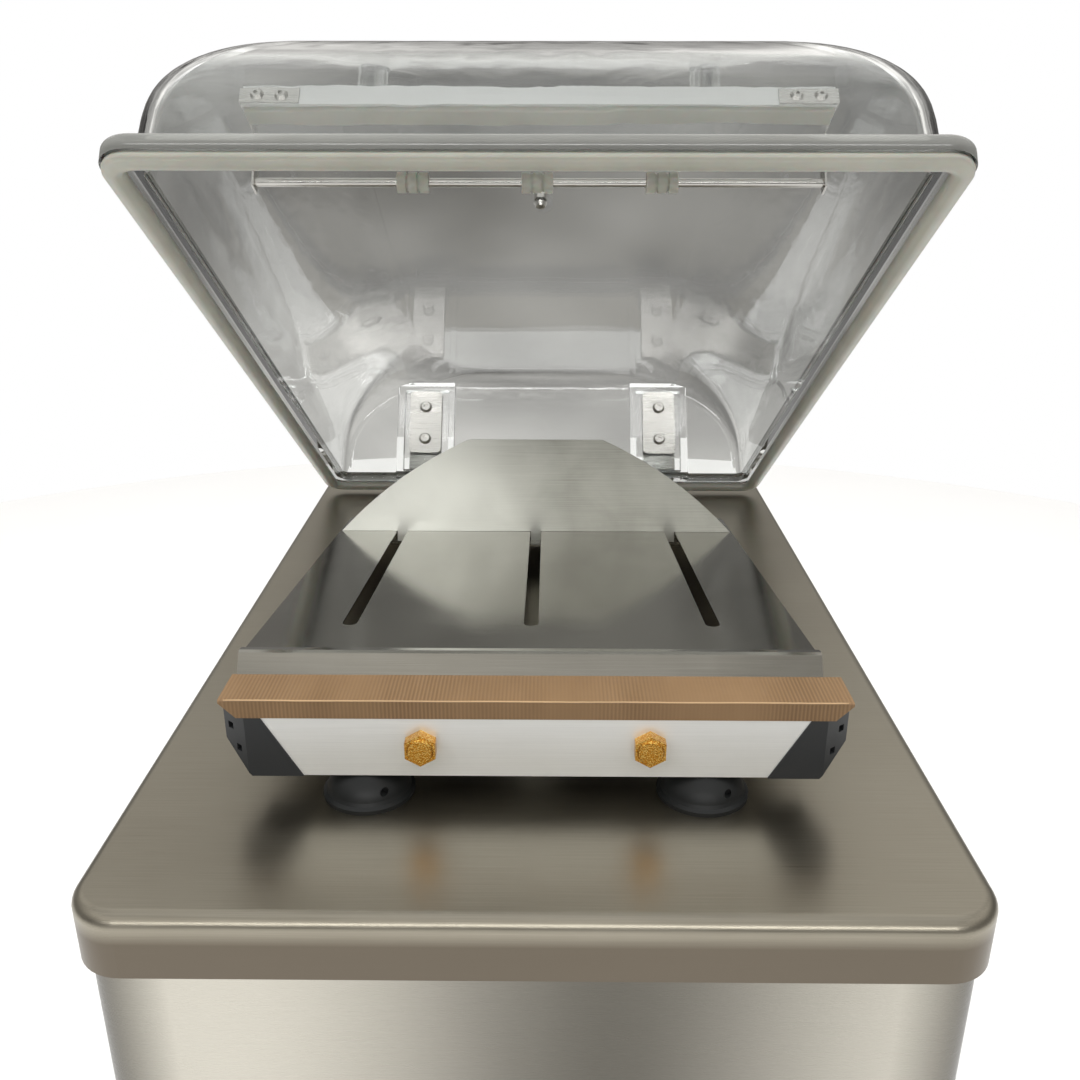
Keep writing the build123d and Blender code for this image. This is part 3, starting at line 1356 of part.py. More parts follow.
# ------------------------------------------------------------- screws of the lid
# Each has a domed head with a hexagon socket: two through each hinge plate with a nut at the
# back, two in each end of the counter bar, and one in the roof.
hinge_screw_places = [(s * hinge_arm_x, d) for s in (-1, 1) for d in hinge_screws]
nut_face = -arm_front - arm_sheet
screw_sets = (
    (lid_front.offset(column_front + backing_sheet), hinge_screw_places, hinge_screw_radius,
     column_front + backing_sheet - nut_face),
    (lid_front.offset(bracket_front), bracket_screws, bracket_screw_radius, bracket_screw_depth),
    (Plane(lid_plane.from_local_coords((0, 0, lid_dome - lid_wall)), x_dir=(1, 0, 0), z_dir=-lid_normal),
     [(0, roof_screw_from_rear)], roof_screw_radius, lid_wall),
)
with BuildPart() as lid_screws:
    for seat, places, radius, length in screw_sets:
        head_radius = 1.45 * radius + 1.7
        head_height = 0.4 * head_radius + 1.2
        with BuildSketch(seat):
            with Locations(*places):
                Circle(radius)
        extrude(amount=-length)
        with BuildSketch(seat):
            with Locations(*places):
                Circle(head_radius)
        extrude(amount=head_height, taper=28)
        with BuildSketch(seat.offset(head_height)):
            with Locations(*places):
                RegularPolygon(radius=0.75 * radius, side_count=6)
        extrude(amount=-0.6 * head_height, mode=Mode.SUBTRACT)
    with BuildSketch(lid_front.offset(nut_face)):
        with Locations(*hinge_screw_places):
            RegularPolygon(radius=7, side_count=6)
    extrude(amount=-6)
    with BuildSketch(lid_plane.offset(lid_dome)):
        with Locations((0, -roof_screw_from_rear)):
            RegularPolygon(radius=6, side_count=6)
    extrude(amount=5)
lid_screws.part.label = "lid_screws"
export_step(lid_screws.part, "parts/lid_screws.step")

# --------------------------------------------------------------------- bag rod
with BuildPart() as bag_rod:
    with BuildSketch(lid_side.offset(-counter_half - bracket_sheet)):
        with Locations((rod_local_y, rod_depth_in_lid)):
            Circle(rod_radius)
    extrude(amount=2 * (counter_half + bracket_sheet))
bag_rod.part.label = "bag_rod"
export_step(bag_rod.part, "parts/bag_rod.step")

with BuildPart() as bag_rod_collars:
    for x in (-collar_spacing, 0, collar_spacing):
        for rib in range(3):
            rib_length = collar_length / 3
            with BuildSketch(lid_side.offset(x - collar_length / 2 + rib * rib_length)):
                with Locations((rod_local_y, rod_depth_in_lid)):
                    Circle(collar_radius)
            extrude(amount=rib_length - 2)
        with BuildSketch(lid_side.offset(x - collar_length / 2)):
            with Locations((rod_local_y, rod_depth_in_lid)):
                Circle(collar_radius - 1.3)
        extrude(amount=collar_length - 2)
        with BuildSketch(lid_side.offset(x - collar_length / 2)):
            with Locations((rod_local_y, rod_depth_in_lid)):
                Circle(rod_radius)
        extrude(amount=collar_length, mode=Mode.SUBTRACT)
bag_rod_collars.part.label = "bag_rod_collars"
export_step(bag_rod_collars.part, "parts/bag_rod_collars.step")
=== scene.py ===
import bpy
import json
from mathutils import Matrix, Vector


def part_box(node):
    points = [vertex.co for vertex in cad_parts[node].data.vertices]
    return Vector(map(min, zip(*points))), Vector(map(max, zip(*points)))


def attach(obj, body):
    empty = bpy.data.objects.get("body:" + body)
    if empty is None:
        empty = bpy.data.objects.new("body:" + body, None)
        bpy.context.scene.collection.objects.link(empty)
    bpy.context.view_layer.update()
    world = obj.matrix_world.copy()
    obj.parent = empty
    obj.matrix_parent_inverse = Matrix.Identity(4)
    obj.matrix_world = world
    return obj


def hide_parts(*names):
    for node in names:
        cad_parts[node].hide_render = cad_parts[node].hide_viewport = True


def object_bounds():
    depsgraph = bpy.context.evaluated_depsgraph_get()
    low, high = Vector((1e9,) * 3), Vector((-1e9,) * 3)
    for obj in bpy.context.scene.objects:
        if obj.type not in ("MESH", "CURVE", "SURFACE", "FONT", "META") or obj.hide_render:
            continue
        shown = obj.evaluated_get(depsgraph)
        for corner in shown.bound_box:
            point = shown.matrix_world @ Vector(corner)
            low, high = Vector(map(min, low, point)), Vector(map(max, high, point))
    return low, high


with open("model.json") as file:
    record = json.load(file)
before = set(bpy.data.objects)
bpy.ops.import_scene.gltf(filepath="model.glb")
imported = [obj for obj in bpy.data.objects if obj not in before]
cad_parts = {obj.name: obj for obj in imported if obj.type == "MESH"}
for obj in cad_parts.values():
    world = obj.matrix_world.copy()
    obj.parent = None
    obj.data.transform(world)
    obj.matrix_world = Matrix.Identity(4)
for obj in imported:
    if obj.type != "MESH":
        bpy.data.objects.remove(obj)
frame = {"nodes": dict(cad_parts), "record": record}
cad_box = [list(corner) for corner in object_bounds()]

import json
import random
from math import cos, pi, radians, sin

import bmesh
import bpy
from mathutils import Matrix, Vector

# Looks of the vacuum packing machine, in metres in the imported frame: +X right, +Y to the rear, +Z up.
random.seed(11)
scene = bpy.context.scene
joints = {joint["name"]: joint for joint in frame["record"]["behaviour"]["joints"]}

NOISE_SPAN = (0.3, 0.7)  # nearly all values of a noise pattern lie between these
LINES_ACROSS = 2600.0  # how often a brushed surface changes in a metre, across the brush lines
LINES_ALONG = 14.0  # and along them


# ------------------------------------------------------------------- materials
class Paint:
    """One procedural material on a Principled shader. Patterns lie in the object's own frame, in metres."""

    def __init__(self, name, color, metallic=0.0, roughness=0.5, **sockets):
        self.material = bpy.data.materials.new(name)
        self.material.use_nodes = True
        self.tree = self.material.node_tree
        self.shader = self.tree.nodes["Principled BSDF"]
        self.place = self.node("ShaderNodeTexCoord").outputs["Object"]
        self.shader.inputs["Base Color"].default_value = (*color, 1)
        self.shader.inputs["Metallic"].default_value = metallic
        self.shader.inputs["Roughness"].default_value = roughness
        for socket, value in sockets.items():
            self.shader.inputs[socket.replace("_", " ")].default_value = value

    def node(self, kind, **settings):
        made = self.tree.nodes.new(kind)
        for setting, value in settings.items():
            setattr(made, setting, value)
        return made

    def feed(self, socket, value):
        if isinstance(value, bpy.types.NodeSocket):
            self.tree.links.new(value, socket)
        else:
            socket.default_value = value

    def scaled(self, scale):
        """Object coordinates times one scale, or one for each axis: one over the pattern's size."""
        made = self.node("ShaderNodeMapping")
        self.tree.links.new(self.place, made.inputs["Vector"])
        made.inputs["Scale"].default_value = scale if isinstance(scale, tuple) else (scale,) * 3
        return made.outputs["Vector"]

    def axis(self, letter):
        """The place along one axis of the object's frame."""
        made = self.node("ShaderNodeSeparateXYZ")
        self.tree.links.new(self.place, made.inputs[0])
        return made.outputs[letter]

    def noise(self, scale, detail=3.0, distortion=0.0):
        made = self.node("ShaderNodeTexNoise")
        self.tree.links.new(self.scaled(scale), made.inputs["Vector"])
        made.inputs["Scale"].default_value = 1.0
        made.inputs["Detail"].default_value = detail
        made.inputs["Roughness"].default_value = 0.55
        made.inputs["Distortion"].default_value = distortion
        return made.outputs["Fac"]

    def cells(self, scale):
        made = self.node("ShaderNodeTexVoronoi", feature="F1")
        self.tree.links.new(self.scaled(scale), made.inputs["Vector"])
        made.inputs["Scale"].default_value = 1.0
        return made.outputs["Distance"]

    def waves(self, scale, axis):
        made = self.node("ShaderNodeTexWave", bands_direction=axis)
        self.tree.links.new(self.scaled(scale), made.inputs["Vector"])
        made.inputs["Scale"].default_value = 1.0
        return made.outputs["Fac"]

    def between(self, factor, low, high, start=0.0, end=1.0):
        """A number that runs from low to high as factor runs from start to end."""
        made = self.node("ShaderNodeMapRange")
        self.feed(made.inputs["Value"], factor)
        for socket, value in (("From Min", start), ("From Max", end), ("To Min", low), ("To Max", high)):
            made.inputs[socket].default_value = value
        return made.outputs["Result"]

    def maths(self, operation, a, b=0.0):
        made = self.node("ShaderNodeMath", operation=operation)
        self.feed(made.inputs[0], a)
        self.feed(made.inputs[1], b)
        return made.outputs[0]

    def mix(self, first, second, share):
        """A number with this share of the second and the rest of the first."""
        rest = self.maths("MULTIPLY", first, 1.0 - share)
        return self.maths("ADD", rest, self.maths("MULTIPLY", second, share))

    def blend(self, factor, low, high):
        """A colour between low and high, each a colour or a socket."""
        made = self.node("ShaderNodeMix", data_type="RGBA")
        self.feed(made.inputs["Factor"], factor)
        for socket, value in (("A", low), ("B", high)):
            target = [i for i in made.inputs if i.name == socket and i.type == "RGBA"][0]
            self.feed(target, value if isinstance(value, bpy.types.NodeSocket) else (*value, 1))
        return [o for o in made.outputs if o.type == "RGBA"][0]

    def tone(self):
        """The socket that feeds the base colour so far."""
        return self.shader.inputs["Base Color"].links[0].from_socket

    def color(self, value):
        self.feed(self.shader.inputs["Base Color"], value)
        return self

    def rough(self, value):
        self.feed(self.shader.inputs["Roughness"], value)
        return self

    def part_metal(self, metallic):
        self.shader.inputs["Metallic"].default_value = metallic
        return self

    def bump(self, height, depth, strength=1.0):
        """Relief of this depth in metres; a second call adds to the first."""
        made = self.node("ShaderNodeBump")
        normal = self.shader.inputs["Normal"]
        if normal.is_linked:
            self.tree.links.new(normal.links[0].from_socket, made.inputs["Normal"])
        self.feed(made.inputs["Height"], height)
        made.inputs["Distance"].default_value = depth
        made.inputs["Strength"].default_value = strength
        self.tree.links.new(made.outputs["Normal"], normal)
        return self


def brushed(name, dark, light, roughness, depth=0.00004, spread=0.07, blotch=7.0):
    """Metal with fine brush lines along X, and soft cloudy patches of handling and cleaning."""
    paint = Paint(name, light, metallic=1.0, roughness=roughness)
    lines = paint.noise((LINES_ALONG, LINES_ACROSS, LINES_ACROSS), detail=2.0)
    cloud = paint.noise(blotch, detail=4.0, distortion=0.4)
    mixed = paint.mix(lines, cloud, 0.55)
    paint.color(paint.blend(paint.between(mixed, 0.0, 1.0, *NOISE_SPAN), dark, light))
    paint.rough(paint.between(mixed, roughness - spread, roughness + spread, *NOISE_SPAN))
    return paint.bump(lines, depth, 0.6)


def moulded(name, color, roughness, grain=1400.0, depth=0.00003, **sockets):
    """Plastic or rubber with a fine moulded grain and slight unevenness."""
    paint = Paint(name, color, roughness=roughness, **sockets)
    cloud = paint.noise(18.0)
    darker = tuple(0.82 * c for c in color)
    lighter = tuple(min(1.0, 1.15 * c) for c in color)
    paint.color(paint.blend(cloud, darker, lighter))
    paint.rough(paint.between(cloud, roughness - 0.06, roughness + 0.08, *NOISE_SPAN))
    return paint.bump(paint.noise(grain, detail=2.0), depth, 0.5)


def deck_steel():
    """Satin sheet, with painted shade that makes the turned-down lip darker than the top."""
    lip_painted_shade = (0.150, 0.128, 0.100)
    lip_shade_starts, lip_shade_darkest = 0.010, 0.020
    paint = brushed("satin_steel", (0.26, 0.238, 0.19), (0.37, 0.342, 0.28), 0.34, blotch=4.0)
    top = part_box("deck_plate")[1].z
    # Painted shade: below the top, the colour fades to the darker lip tone.
    lit = paint.between(paint.axis("Z"), 0.0, 1.0, top - lip_shade_darkest, top - lip_shade_starts)
    return paint.color(paint.blend(lit, lip_painted_shade, paint.tone()))


def backstop_steel():
    """Mottled satin sheet, with painted light that makes it brighter towards its left end, where the room's
    light falls on it.
    """
    painted_light_tone = (0.80, 0.81, 0.75)
    bright_up_to, plain_from = -0.06, 0.07
    paint = brushed("backstop_steel", (0.24, 0.24, 0.21), (0.50, 0.50, 0.45), 0.40, spread=0.08, blotch=14.0)
    paint.part_metal(0.6)
    # Painted light: the colour brightens towards the left end, along a wandering border.
    wander = paint.maths("MULTIPLY", paint.noise(9.0, detail=2.0), 0.10)
    along = paint.maths("ADD", paint.axis("X"), wander)
    lit = paint.between(along, 1.0, 0.0, bright_up_to, plain_from)
    return paint.color(paint.blend(lit, paint.tone(), painted_light_tone))


def banded_steel():
    """Upright brushed sheet: painted reflections as broad soft bands across its width, and painted shade
    darker towards the rounded corners.
    """
    wave_turn, wave_start = 13.0, 4.1  # radians for each metre, and at the middle, of the painted reflection bands
    corner_shade_starts, corner_shade_darkest = 0.225, 0.272  # from the middle of the sheet
    paint = Paint("brushed_steel", (0.7, 0.68, 0.62), metallic=1.0, roughness=0.27)
    across = paint.axis("X")
    # Painted reflections: a sine of the place across the sheet gives broad light and dark bands.
    wave = paint.maths("ADD", paint.maths("MULTIPLY", across, wave_turn), wave_start)
    painted_reflection_band = paint.between(paint.maths("SINE", wave), 0.10, 1.0, -1.0, 1.0)
    # Painted shade: the bands fade to dark towards the rounded corners.
    outside_corner_shade = paint.between(paint.maths("ABSOLUTE", across), 1.0, 0.0, corner_shade_starts, corner_shade_darkest)
    cloud = paint.noise((5.0, 5.0, 1.2), detail=3.0, distortion=0.5)
    tone = paint.mix(paint.maths("MULTIPLY", painted_reflection_band, paint.between(outside_corner_shade, 0.02, 1.0)), cloud, 0.12)
    # The painted reflection bands and painted corner shade run from near black to light steel.
    paint.color(paint.blend(tone, (0.050, 0.046, 0.038), (0.58, 0.555, 0.49)))
    lines = paint.noise((LINES_ALONG, LINES_ALONG, LINES_ACROSS), detail=2.0)
    paint.rough(paint.between(lines, 0.22, 0.33, *NOISE_SPAN))
    return paint.bump(lines, 0.00008, 0.6)


def cast_brass():
    """Warm brass with a coarse bright and dark speckle."""
    paint = Paint("cast_brass", (0.95, 0.55, 0.12), metallic=1.0, roughness=0.25)
    speckle = paint.cells(900.0)
    dark_share = paint.between(speckle, 0.0, 1.0, 0.15, 0.6)
    paint.color(paint.blend(dark_share, (1.0, 0.74, 0.24), (0.62, 0.27, 0.03)))
    return paint.bump(speckle, 0.0003, 0.9)


def clear_acrylic():
    """The lid's sheet, clear, with the slow waves of forming and a few hazy patches."""
    paint = Paint("clear_acrylic", (0.88, 0.895, 0.885), roughness=0.02, Transmission_Weight=1.0, IOR=1.49)
    paint.rough(paint.between(paint.noise(9.0, detail=5.0), 0.0, 0.05, 0.35, 0.75))
    return paint.bump(paint.noise(7.0, detail=1.5), 0.0006, 0.5)


def acrylic_edge():
    """The same sheet's polished edge, greyer, with soft level streaks."""
    paint = Paint("acrylic_edge", (0.42, 0.425, 0.40), roughness=0.12, Transmission_Weight=0.55, IOR=1.49)
    paint.color(paint.blend(paint.noise((6.0, 6.0, 26.0)), (0.30, 0.305, 0.29), (0.58, 0.585, 0.55)))
    return paint.rough(paint.between(paint.noise((14.0, 14.0, 60.0)), 0.05, 0.22))


def cream_silicone():
    """Soft silicone that lets a little light in."""
    paint = Paint(
        "cream_silicone", (0.60, 0.60, 0.52), roughness=0.40,
        Transmission_Weight=0.35, Subsurface_Weight=0.30, Subsurface_Scale=0.004,
    )
    paint.color(paint.blend(paint.noise(30.0), (0.50, 0.50, 0.43), (0.68, 0.68, 0.60)))
    return paint.bump(paint.noise(700.0), 0.00004, 0.4)


def woven_tape():
    """Brown glass cloth in PTFE: ribs across the bar that come and go with wear, and a fine weft."""
    paint = Paint("ptfe_tape", (0.30, 0.19, 0.10), roughness=0.42)
    ribs = paint.waves(121.0, "X")
    weft = paint.waves(420.0, "Z")
    wear = paint.between(paint.noise((9.0, 2.0, 2.0), detail=2.0), 0.0, 1.0, 0.38, 0.62)
    cloud = paint.noise((40.0, 9.0, 9.0), detail=4.0)
    ribbed = paint.maths("MULTIPLY", ribs, wear)
    paint.color(paint.blend(paint.mix(ribbed, cloud, 0.55), (0.33, 0.20, 0.095), (0.135, 0.072, 0.026)))
    paint.rough(paint.between(cloud, 0.34, 0.52))
    paint.bump(ribbed, 0.00025, 0.9)
    return paint.bump(weft, 0.00004, 0.5)


satin_aluminium = brushed("satin_aluminium", (0.80, 0.81, 0.80), (0.92, 0.93, 0.92), 0.44, depth=0.00002)
paints = {
    "stainless_deck": deck_steel(),
    "stainless_bright": brushed(
        "bright_steel", (0.24, 0.23, 0.20), (0.33, 0.32, 0.285), 0.13, depth=0.000015, spread=0.04
    ),
    "backstop_steel": backstop_steel(),
    "stainless_cabinet": banded_steel(),
    "stainless_fittings": brushed(
        "fitting_steel", (0.48, 0.47, 0.45), (0.64, 0.63, 0.60), 0.27, depth=0.00003
    ),
    "aluminium_satin": satin_aluminium.part_metal(0.6),
    "brass": cast_brass(),
    "valve_brass": brushed("machined_brass", (0.55, 0.40, 0.16), (0.74, 0.56, 0.26), 0.33),
    "zinc_steel": brushed("zinc_plate", (0.50, 0.51, 0.53), (0.72, 0.73, 0.75), 0.30, depth=0.00003),
    "black_plastic": moulded("black_plastic", (0.022, 0.024, 0.026), 0.50, depth=0.00005),
    "wheel_rubber": moulded("wheel_rubber", (0.035, 0.035, 0.038), 0.55),
    "cup_rubber": moulded("cup_rubber", (0.011, 0.012, 0.012), 0.46, Specular_IOR_Level=0.30),
    "pedal_red": moulded("red_plastic", (0.50, 0.022, 0.018), 0.34),
    "panel_overlay": moulded("panel_film", (0.075, 0.085, 0.10), 0.45, grain=900.0),
    "dark_window": moulded("dark_window", (0.012, 0.014, 0.016), 0.12, depth=0.000005),
    "key_grey": moulded("key_grey", (0.42, 0.44, 0.46), 0.42),
    "needle_black": moulded("needle_black", (0.01, 0.01, 0.01), 0.45),
    "pump_paint": moulded("pump_paint", (0.045, 0.085, 0.16), 0.38, grain=300.0, depth=0.00012),
    "hose_black": moulded("hose_black", (0.022, 0.022, 0.022), 0.6),
    "iron_core": moulded("iron_core", (0.10, 0.085, 0.075), 0.5),
    "circuit_board": moulded("circuit_board", (0.02, 0.14, 0.05), 0.4),
    "clear_acrylic": clear_acrylic(),
    "acrylic_edge": acrylic_edge(),
    "cream_silicone": cream_silicone(),
    "ptfe_tape": woven_tape(),
    "tape_crease": moulded("tape_crease", (0.56, 0.37, 0.20), 0.38, grain=420.0, depth=0.00006),
}

# Each node wears the paint of its slot, except two that have one of their own.
own_paint = {"backstop": "backstop_steel", "lift_cups": "cup_rubber"}
for entry in frame["record"]["subparts"]:
    node = frame["nodes"][entry["node"]]
    node.data.materials.clear()
    paint_name = own_paint.get(entry["node"], entry["material_slot"])
    node.data.materials.append(paints[paint_name].material)


# ------------------------------------------------------------- the lid's frame
hinge = joints["lid_hinge"]
lid_turn = radians(-min(hinge["range_deg"]))
to_hinge = Matrix.Translation(Vector(hinge["pos_m"]))
opened = to_hinge @ Matrix.Rotation(-lid_turn, 4, "X") @ to_hinge.inverted()


def closed_box(node):
    """A lid node's lowest and highest corners with the lid shut, when its rim lies level."""
    shut = opened.inverted()
    points = [shut @ vertex.co for vertex in frame["nodes"][node].data.vertices]
    return [Vector(pick(point[axis] for point in points) for axis in range(3)) for pick in (min, max)]


# -------------------------------------------------------------- added geometry
def piece(name, mesh_source, body, paint, smooth=True):
    """Turns a bmesh into an object in this paint that rides on a body."""
    mesh = bpy.data.meshes.new(name)
    bmesh.ops.recalc_face_normals(mesh_source, faces=mesh_source.faces)
    mesh_source.to_mesh(mesh)
    mesh_source.free()
    if smooth:
        mesh.shade_smooth()
    made = bpy.data.objects.new(name, mesh)
    scene.collection.objects.link(made)
    made.data.materials.append(paints[paint].material)
    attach(made, body)
    return made


def join_rows(mesh, rows, closed=True):
    """Faces from each loop of points to the next, and from the last to the first if closed."""
    following = rows[1:] + rows[:1] if closed else rows[1:]
    for here, there in zip(rows, following):
        for k in range(len(here)):
            n = (k + 1) % len(here)
            mesh.faces.new((here[k], here[n], there[n], there[k]))


def rounded_rectangle(low, high, radius, steps=12):
    """Points round a rectangle in XY, with the way out at each point."""
    corners = ((high.x, high.y, 0), (low.x, high.y, 1), (low.x, low.y, 2), (high.x, low.y, 3))
    for x, y, quarter in corners:
        centre_x = x - radius if x == high.x else x + radius
        centre_y = y - radius if y == high.y else y + radius
        centre = Vector((centre_x, centre_y))
        for step in range(steps + 1):
            turn = (quarter + step / steps) * pi / 2
            out = Vector((cos(turn), sin(turn)))
            yield centre + radius * out, out


def swept_ring(low, high, radius, profile, move):
    """A closed profile of (inward, height) points carried round a rounded rectangle."""
    ring = bmesh.new()
    rows = []
    for point, out in rounded_rectangle(low, high, radius):
        places = [Vector((*(point - inward * out), height)) for inward, height in profile]
        rows.append([ring.verts.new(move @ place) for place in places])
    join_rows(ring, rows)
    return ring


def gasket():
    """A soft bulb section with two sealing ribs, a hair under the flange."""
    width, corner_radius, gap = 0.015, 0.023, 0.0003
    edge_step, wall, steps = 0.0006, 0.001, 8
    low, high = closed_box("lid_gasket")
    deep = high.z - low.z
    top = high.z - gap
    shoulder, bulb_top, bulb_deep, rib = 0.25 * deep, 0.6 * deep, 0.4 * deep, 0.10 * deep
    profile = [(edge_step, top), (0.0, top - shoulder), (edge_step, top - bulb_top)]
    for k in range(steps + 1):
        turn = pi * k / steps
        bulge = rib * (1 - cos(4 * turn)) / 2
        inward = width / 2 - (width / 2 - wall) * cos(turn)
        profile.append((inward, top - bulb_top - bulb_deep * sin(turn) + bulge))
    profile += [(width, top - shoulder), (width - edge_step, top)]
    bulb = swept_ring(low, high, corner_radius, profile, opened)
    made = piece("gasket_bulb", bulb, "lid", "cream_silicone")
    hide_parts("lid_gasket")


def flange_edge():
    """The flange's polished edge: light that enters it along its length leaves it grey, not clear."""
    thick, rounded, corner_radius, reach_in = 0.012, 0.004, 0.024, 0.011
    skin, clear, overhang, steps = 0.0005, 0.0001, 0.001, 6
    shell_low, shell_high = closed_box("lid_shell")
    gasket_low, gasket_high = closed_box("lid_gasket")
    foot = gasket_high.z
    top = foot + thick
    outside, inside = [], []
    for k in range(steps + 1):
        turn = pi / 2 * k / steps
        for reach, side in ((rounded + skin, outside), (rounded + clear, inside)):
            side.append((rounded - reach * cos(turn), top - rounded + reach * sin(turn)))
    profile = [(-skin, foot)] + outside + [(reach_in, top + skin), (reach_in, top + clear)]
    profile += inside[::-1] + [(-clear, foot)]
    front = Vector((shell_low.x, gasket_low.y - overhang))
    rear = Vector((shell_high.x, gasket_high.y + overhang))
    edge = swept_ring(front, rear, corner_radius, profile, opened)
    piece("flange_edge", edge, "lid", "acrylic_edge")


def gauge_marks():
    """Tick marks round three quarters of a turn on the gauge's face, under the needle."""
    count, first_turn, step, major = 31, 225, 9, 5
    major_length, minor_length = 0.16, 0.09  # as shares of the dial's radius
    major_half_width, minor_half_width = 0.00045, 0.00025
    mark_end, dial_share = 0.92, 0.80
    behind_needle, thickness = 0.0006, 0.0002
    pivot = Vector(joints["gauge_needle_turn"]["pos_m"])
    case_low, case_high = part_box("gauge_case")
    radius = dial_share * (case_high.x - case_low.x) / 2
    middle = Vector((pivot.x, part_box("gauge_needle")[1].y + behind_needle, pivot.z))
    marks = bmesh.new()
    for k in range(count):
        turn = radians(first_turn - step * k)
        length = major_length if k % major == 0 else minor_length
        half_width = major_half_width if k % major == 0 else minor_half_width
        across = Vector((-sin(turn), 0, cos(turn))) * half_width
        out = Vector((cos(turn), 0, sin(turn)))
        inner, outer = [middle + out * radius * share for share in (mark_end - length, mark_end)]
        corners = [inner - across, outer - across, outer + across, inner + across]
        bottom = [marks.verts.new(c) for c in corners]
        top = [marks.verts.new(c - Vector((0, thickness, 0))) for c in corners]
        marks.faces.new(bottom)
        marks.faces.new(top[::-1])
        for i in range(4):
            j = (i + 1) % 4
            marks.faces.new((bottom[i], top[i], top[j], bottom[j]))
    piece("gauge_marks", marks, "cabinet", "needle_black", smooth=False)


def tape_crease():
    """A pale line along the tape where it turns over the heater's front edge."""
    count, sides, radius, inset, sunk = 90, 8, 0.0006, 0.004, 0.0002
    wave, jitter = 0.0001, 0.00004
    low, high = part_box("seal_bar_heater")
    crease = bmesh.new()
    rows = []
    for i in range(count + 1):
        x = low.x + inset + (high.x - low.x - 2 * inset) * i / count
        wander = wave * sin(0.35 * i) + random.uniform(-jitter, jitter)
        centre = Vector((x, low.y + sunk, high.z - sunk + wander))
        turns = [2 * pi * k / sides for k in range(sides)]
        around = [Vector((0, cos(turn), sin(turn))) for turn in turns]
        rows.append([crease.verts.new(centre + radius * out) for out in around])
    join_rows(crease, rows, closed=False)
    crease.faces.new(rows[0])
    crease.faces.new(rows[-1][::-1])
    piece("tape_crease", crease, "seal_bar", "tape_crease")


def key_rings():
    """A raised bead round each panel button."""
    steps, sides, gap = 40, 8, 0.0022
    bead, flatness = 0.0009, 0.7
    panel_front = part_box("control_panel")[0].y
    for number in range(1, 5):
        low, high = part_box(f"panel_button_{number}")
        middle = Vector(((low.x + high.x) / 2, panel_front, (low.z + high.z) / 2))
        radius = max(high.x - low.x, high.z - low.z) / 2 + gap
        ring = bmesh.new()
        rows = []
        for i in range(steps):
            out = Vector((cos(2 * pi * i / steps), 0, sin(2 * pi * i / steps)))
            row = []
            for k in range(sides):
                turn = 2 * pi * k / sides
                around = cos(turn) * out + Vector((0, -flatness * sin(turn), 0))
                row.append(ring.verts.new(middle + radius * out + bead * around))
            rows.append(row)
        join_rows(ring, rows)
        piece(f"key_ring_{number}", ring, "cabinet", "key_grey")


gasket()
flange_edge()
gauge_marks()
tape_crease()
key_rings()


# ------------------------------------------------------- floor, light, camera
def pale_floor():
    """A wide, nearly even white disc."""
    paint = Paint("pale_floor", (0.95, 0.95, 0.945), roughness=0.6)
    paint.color(paint.blend(paint.noise(3.0), (0.94, 0.94, 0.935), (0.965, 0.965, 0.96)))
    bpy.ops.mesh.primitive_circle_add(vertices=128, radius=3.6, fill_type="NGON", location=(0.0, 0.0, 0.0))
    floor = bpy.context.object
    floor.name = "floor"
    floor.data.materials.append(paint.material)


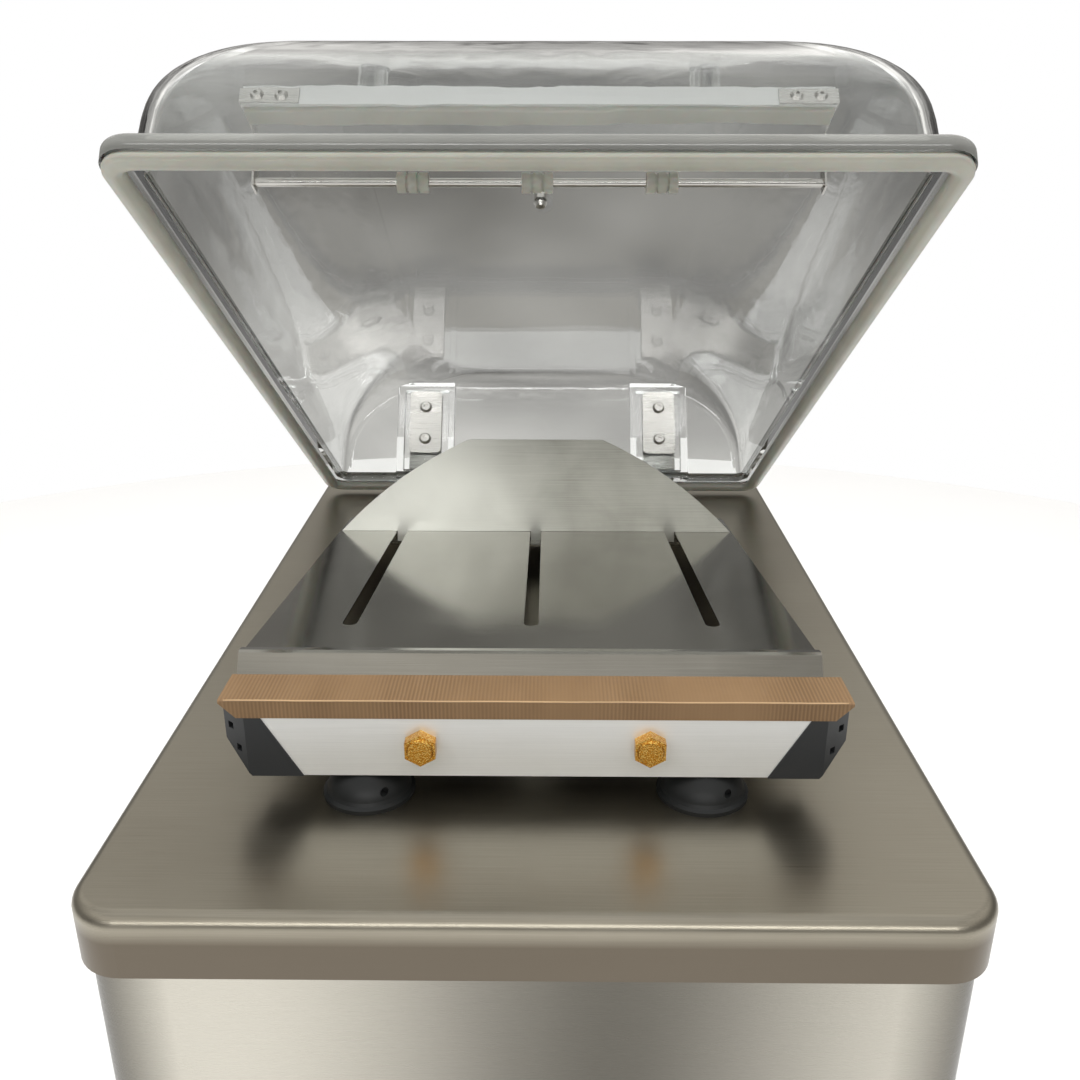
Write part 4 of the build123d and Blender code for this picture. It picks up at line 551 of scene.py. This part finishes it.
def studio():
    """White behind the machine; what its metal and its clear lid show is a room of soft grey bands."""
    room_greys = (
        (0.0, 0.60), (0.40, 0.46), (0.50, 0.25), (0.60, 0.27), (0.70, 0.66), (0.82, 1.0), (1.0, 1.2)
    )
    warmth = (1.0, 0.975, 0.94)
    world = bpy.data.worlds.new("studio")
    scene.world = world
    world.use_nodes = True
    nodes, links = world.node_tree.nodes, world.node_tree.links
    place = nodes.new("ShaderNodeTexCoord").outputs["Generated"]

    # Grey bands from below to above, by how high a ray points.
    apart = nodes.new("ShaderNodeSeparateXYZ")
    links.new(place, apart.inputs[0])
    height = nodes.new("ShaderNodeMapRange")
    height.inputs["From Min"].default_value = -1.0
    links.new(apart.outputs["Z"], height.inputs["Value"])
    ramp = nodes.new("ShaderNodeValToRGB")
    links.new(height.outputs["Result"], ramp.inputs["Fac"])
    stops = ramp.color_ramp.elements
    for at, grey in room_greys:
        stops.new(at).color = (*(grey * share for share in warmth), 1)
    stops.remove(stops[0])
    stops.remove(stops[-1])

    # Soft patches over the bands.
    squeeze = nodes.new("ShaderNodeMapping")
    squeeze.inputs["Scale"].default_value = (3.0, 3.0, 5.5)
    links.new(place, squeeze.inputs["Vector"])
    patches = nodes.new("ShaderNodeTexNoise")
    patches.inputs["Scale"].default_value = 1.0
    patches.inputs["Detail"].default_value = 2.5
    links.new(squeeze.outputs["Vector"], patches.inputs["Vector"])
    spread = nodes.new("ShaderNodeMapRange")
    for socket, value in (("From Min", 0.35), ("From Max", 0.65), ("To Min", 0.55), ("To Max", 1.40)):
        spread.inputs[socket].default_value = value
    links.new(patches.outputs["Fac"], spread.inputs["Value"])
    room = nodes.new("ShaderNodeVectorMath")
    room.operation = "SCALE"
    links.new(ramp.outputs["Color"], room.inputs[0])
    links.new(spread.outputs["Result"], room.inputs["Scale"])

    # Plain white for what is seen past the machine, and the room for everything else.
    seen = nodes.new("ShaderNodeLightPath")
    behind = nodes.new("ShaderNodeMix")
    behind.data_type = "RGBA"
    links.new(seen.outputs["Is Camera Ray"], behind.inputs["Factor"])
    mirrored, white = [i for i in behind.inputs if i.type == "RGBA"]
    links.new(room.outputs["Vector"], mirrored)
    white.default_value = (1, 1, 1, 1)
    background = nodes["Background"]
    background.inputs["Strength"].default_value = 1.0
    links.new([o for o in behind.outputs if o.type == "RGBA"][0], background.inputs["Color"])


def soft_light(name, place, target, size, power, mirrored=False):
    """A rectangular light that lights surfaces, or, if mirrored, shows only in gloss and through the lid."""
    data = bpy.data.lights.new(name, "AREA")
    data.shape = "RECTANGLE"
    data.size, data.size_y = size
    data.energy = power
    made = bpy.data.objects.new(name, data)
    scene.collection.objects.link(made)
    made.location = place
    made.rotation_euler = (Vector(target) - Vector(place)).to_track_quat("-Z", "Y").to_euler()
    made.visible_glossy = mirrored
    made.visible_transmission = mirrored
    made.visible_diffuse = not mirrored


def stand_camera():
    """Above and in front of the deck, looking down into the open lid."""
    above_deck, aside, in_front = 0.430, 0.0077, 0.9455
    yaw, down, roll = radians(0.44), radians(21.41), radians(0.08)
    data = bpy.data.cameras.new("camera")
    data.lens = 35.5
    data.sensor_width = 36.0
    data.shift_y = 0.0114
    camera = bpy.data.objects.new("camera", data)
    scene.collection.objects.link(camera)
    camera.location = (aside, -in_front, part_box("deck_plate")[1].z + above_deck)
    turned = Matrix.Rotation(yaw, 3, "Z") @ Matrix.Rotation(pi / 2 - down, 3, "X")
    camera.rotation_euler = (turned @ Matrix.Rotation(roll, 3, "Z")).to_euler()
    scene.camera = camera
    scene.view_settings.view_transform = "Standard"


pale_floor()
studio()
middle = (Vector(cad_box[0]) + Vector(cad_box[1])) / 2
soft_light("ceiling_light", (0.0, 0.0, 4.2), (0.0, 0.0, 0.0), size=(4.5, 4.5), power=108.0)
soft_light("left_light", (-2.6, -1.6, 2.2), middle, size=(1.4, 1.8), power=26.0)
soft_light("right_light", (2.6, -1.2, 2.0), middle, size=(1.2, 1.8), power=14.0)
soft_light("strip_light", (0.0, -4.2, 2.3), (0.0, -0.4, 0.9), size=(4.5, 0.5), power=60.0, mirrored=True)
stand_camera()
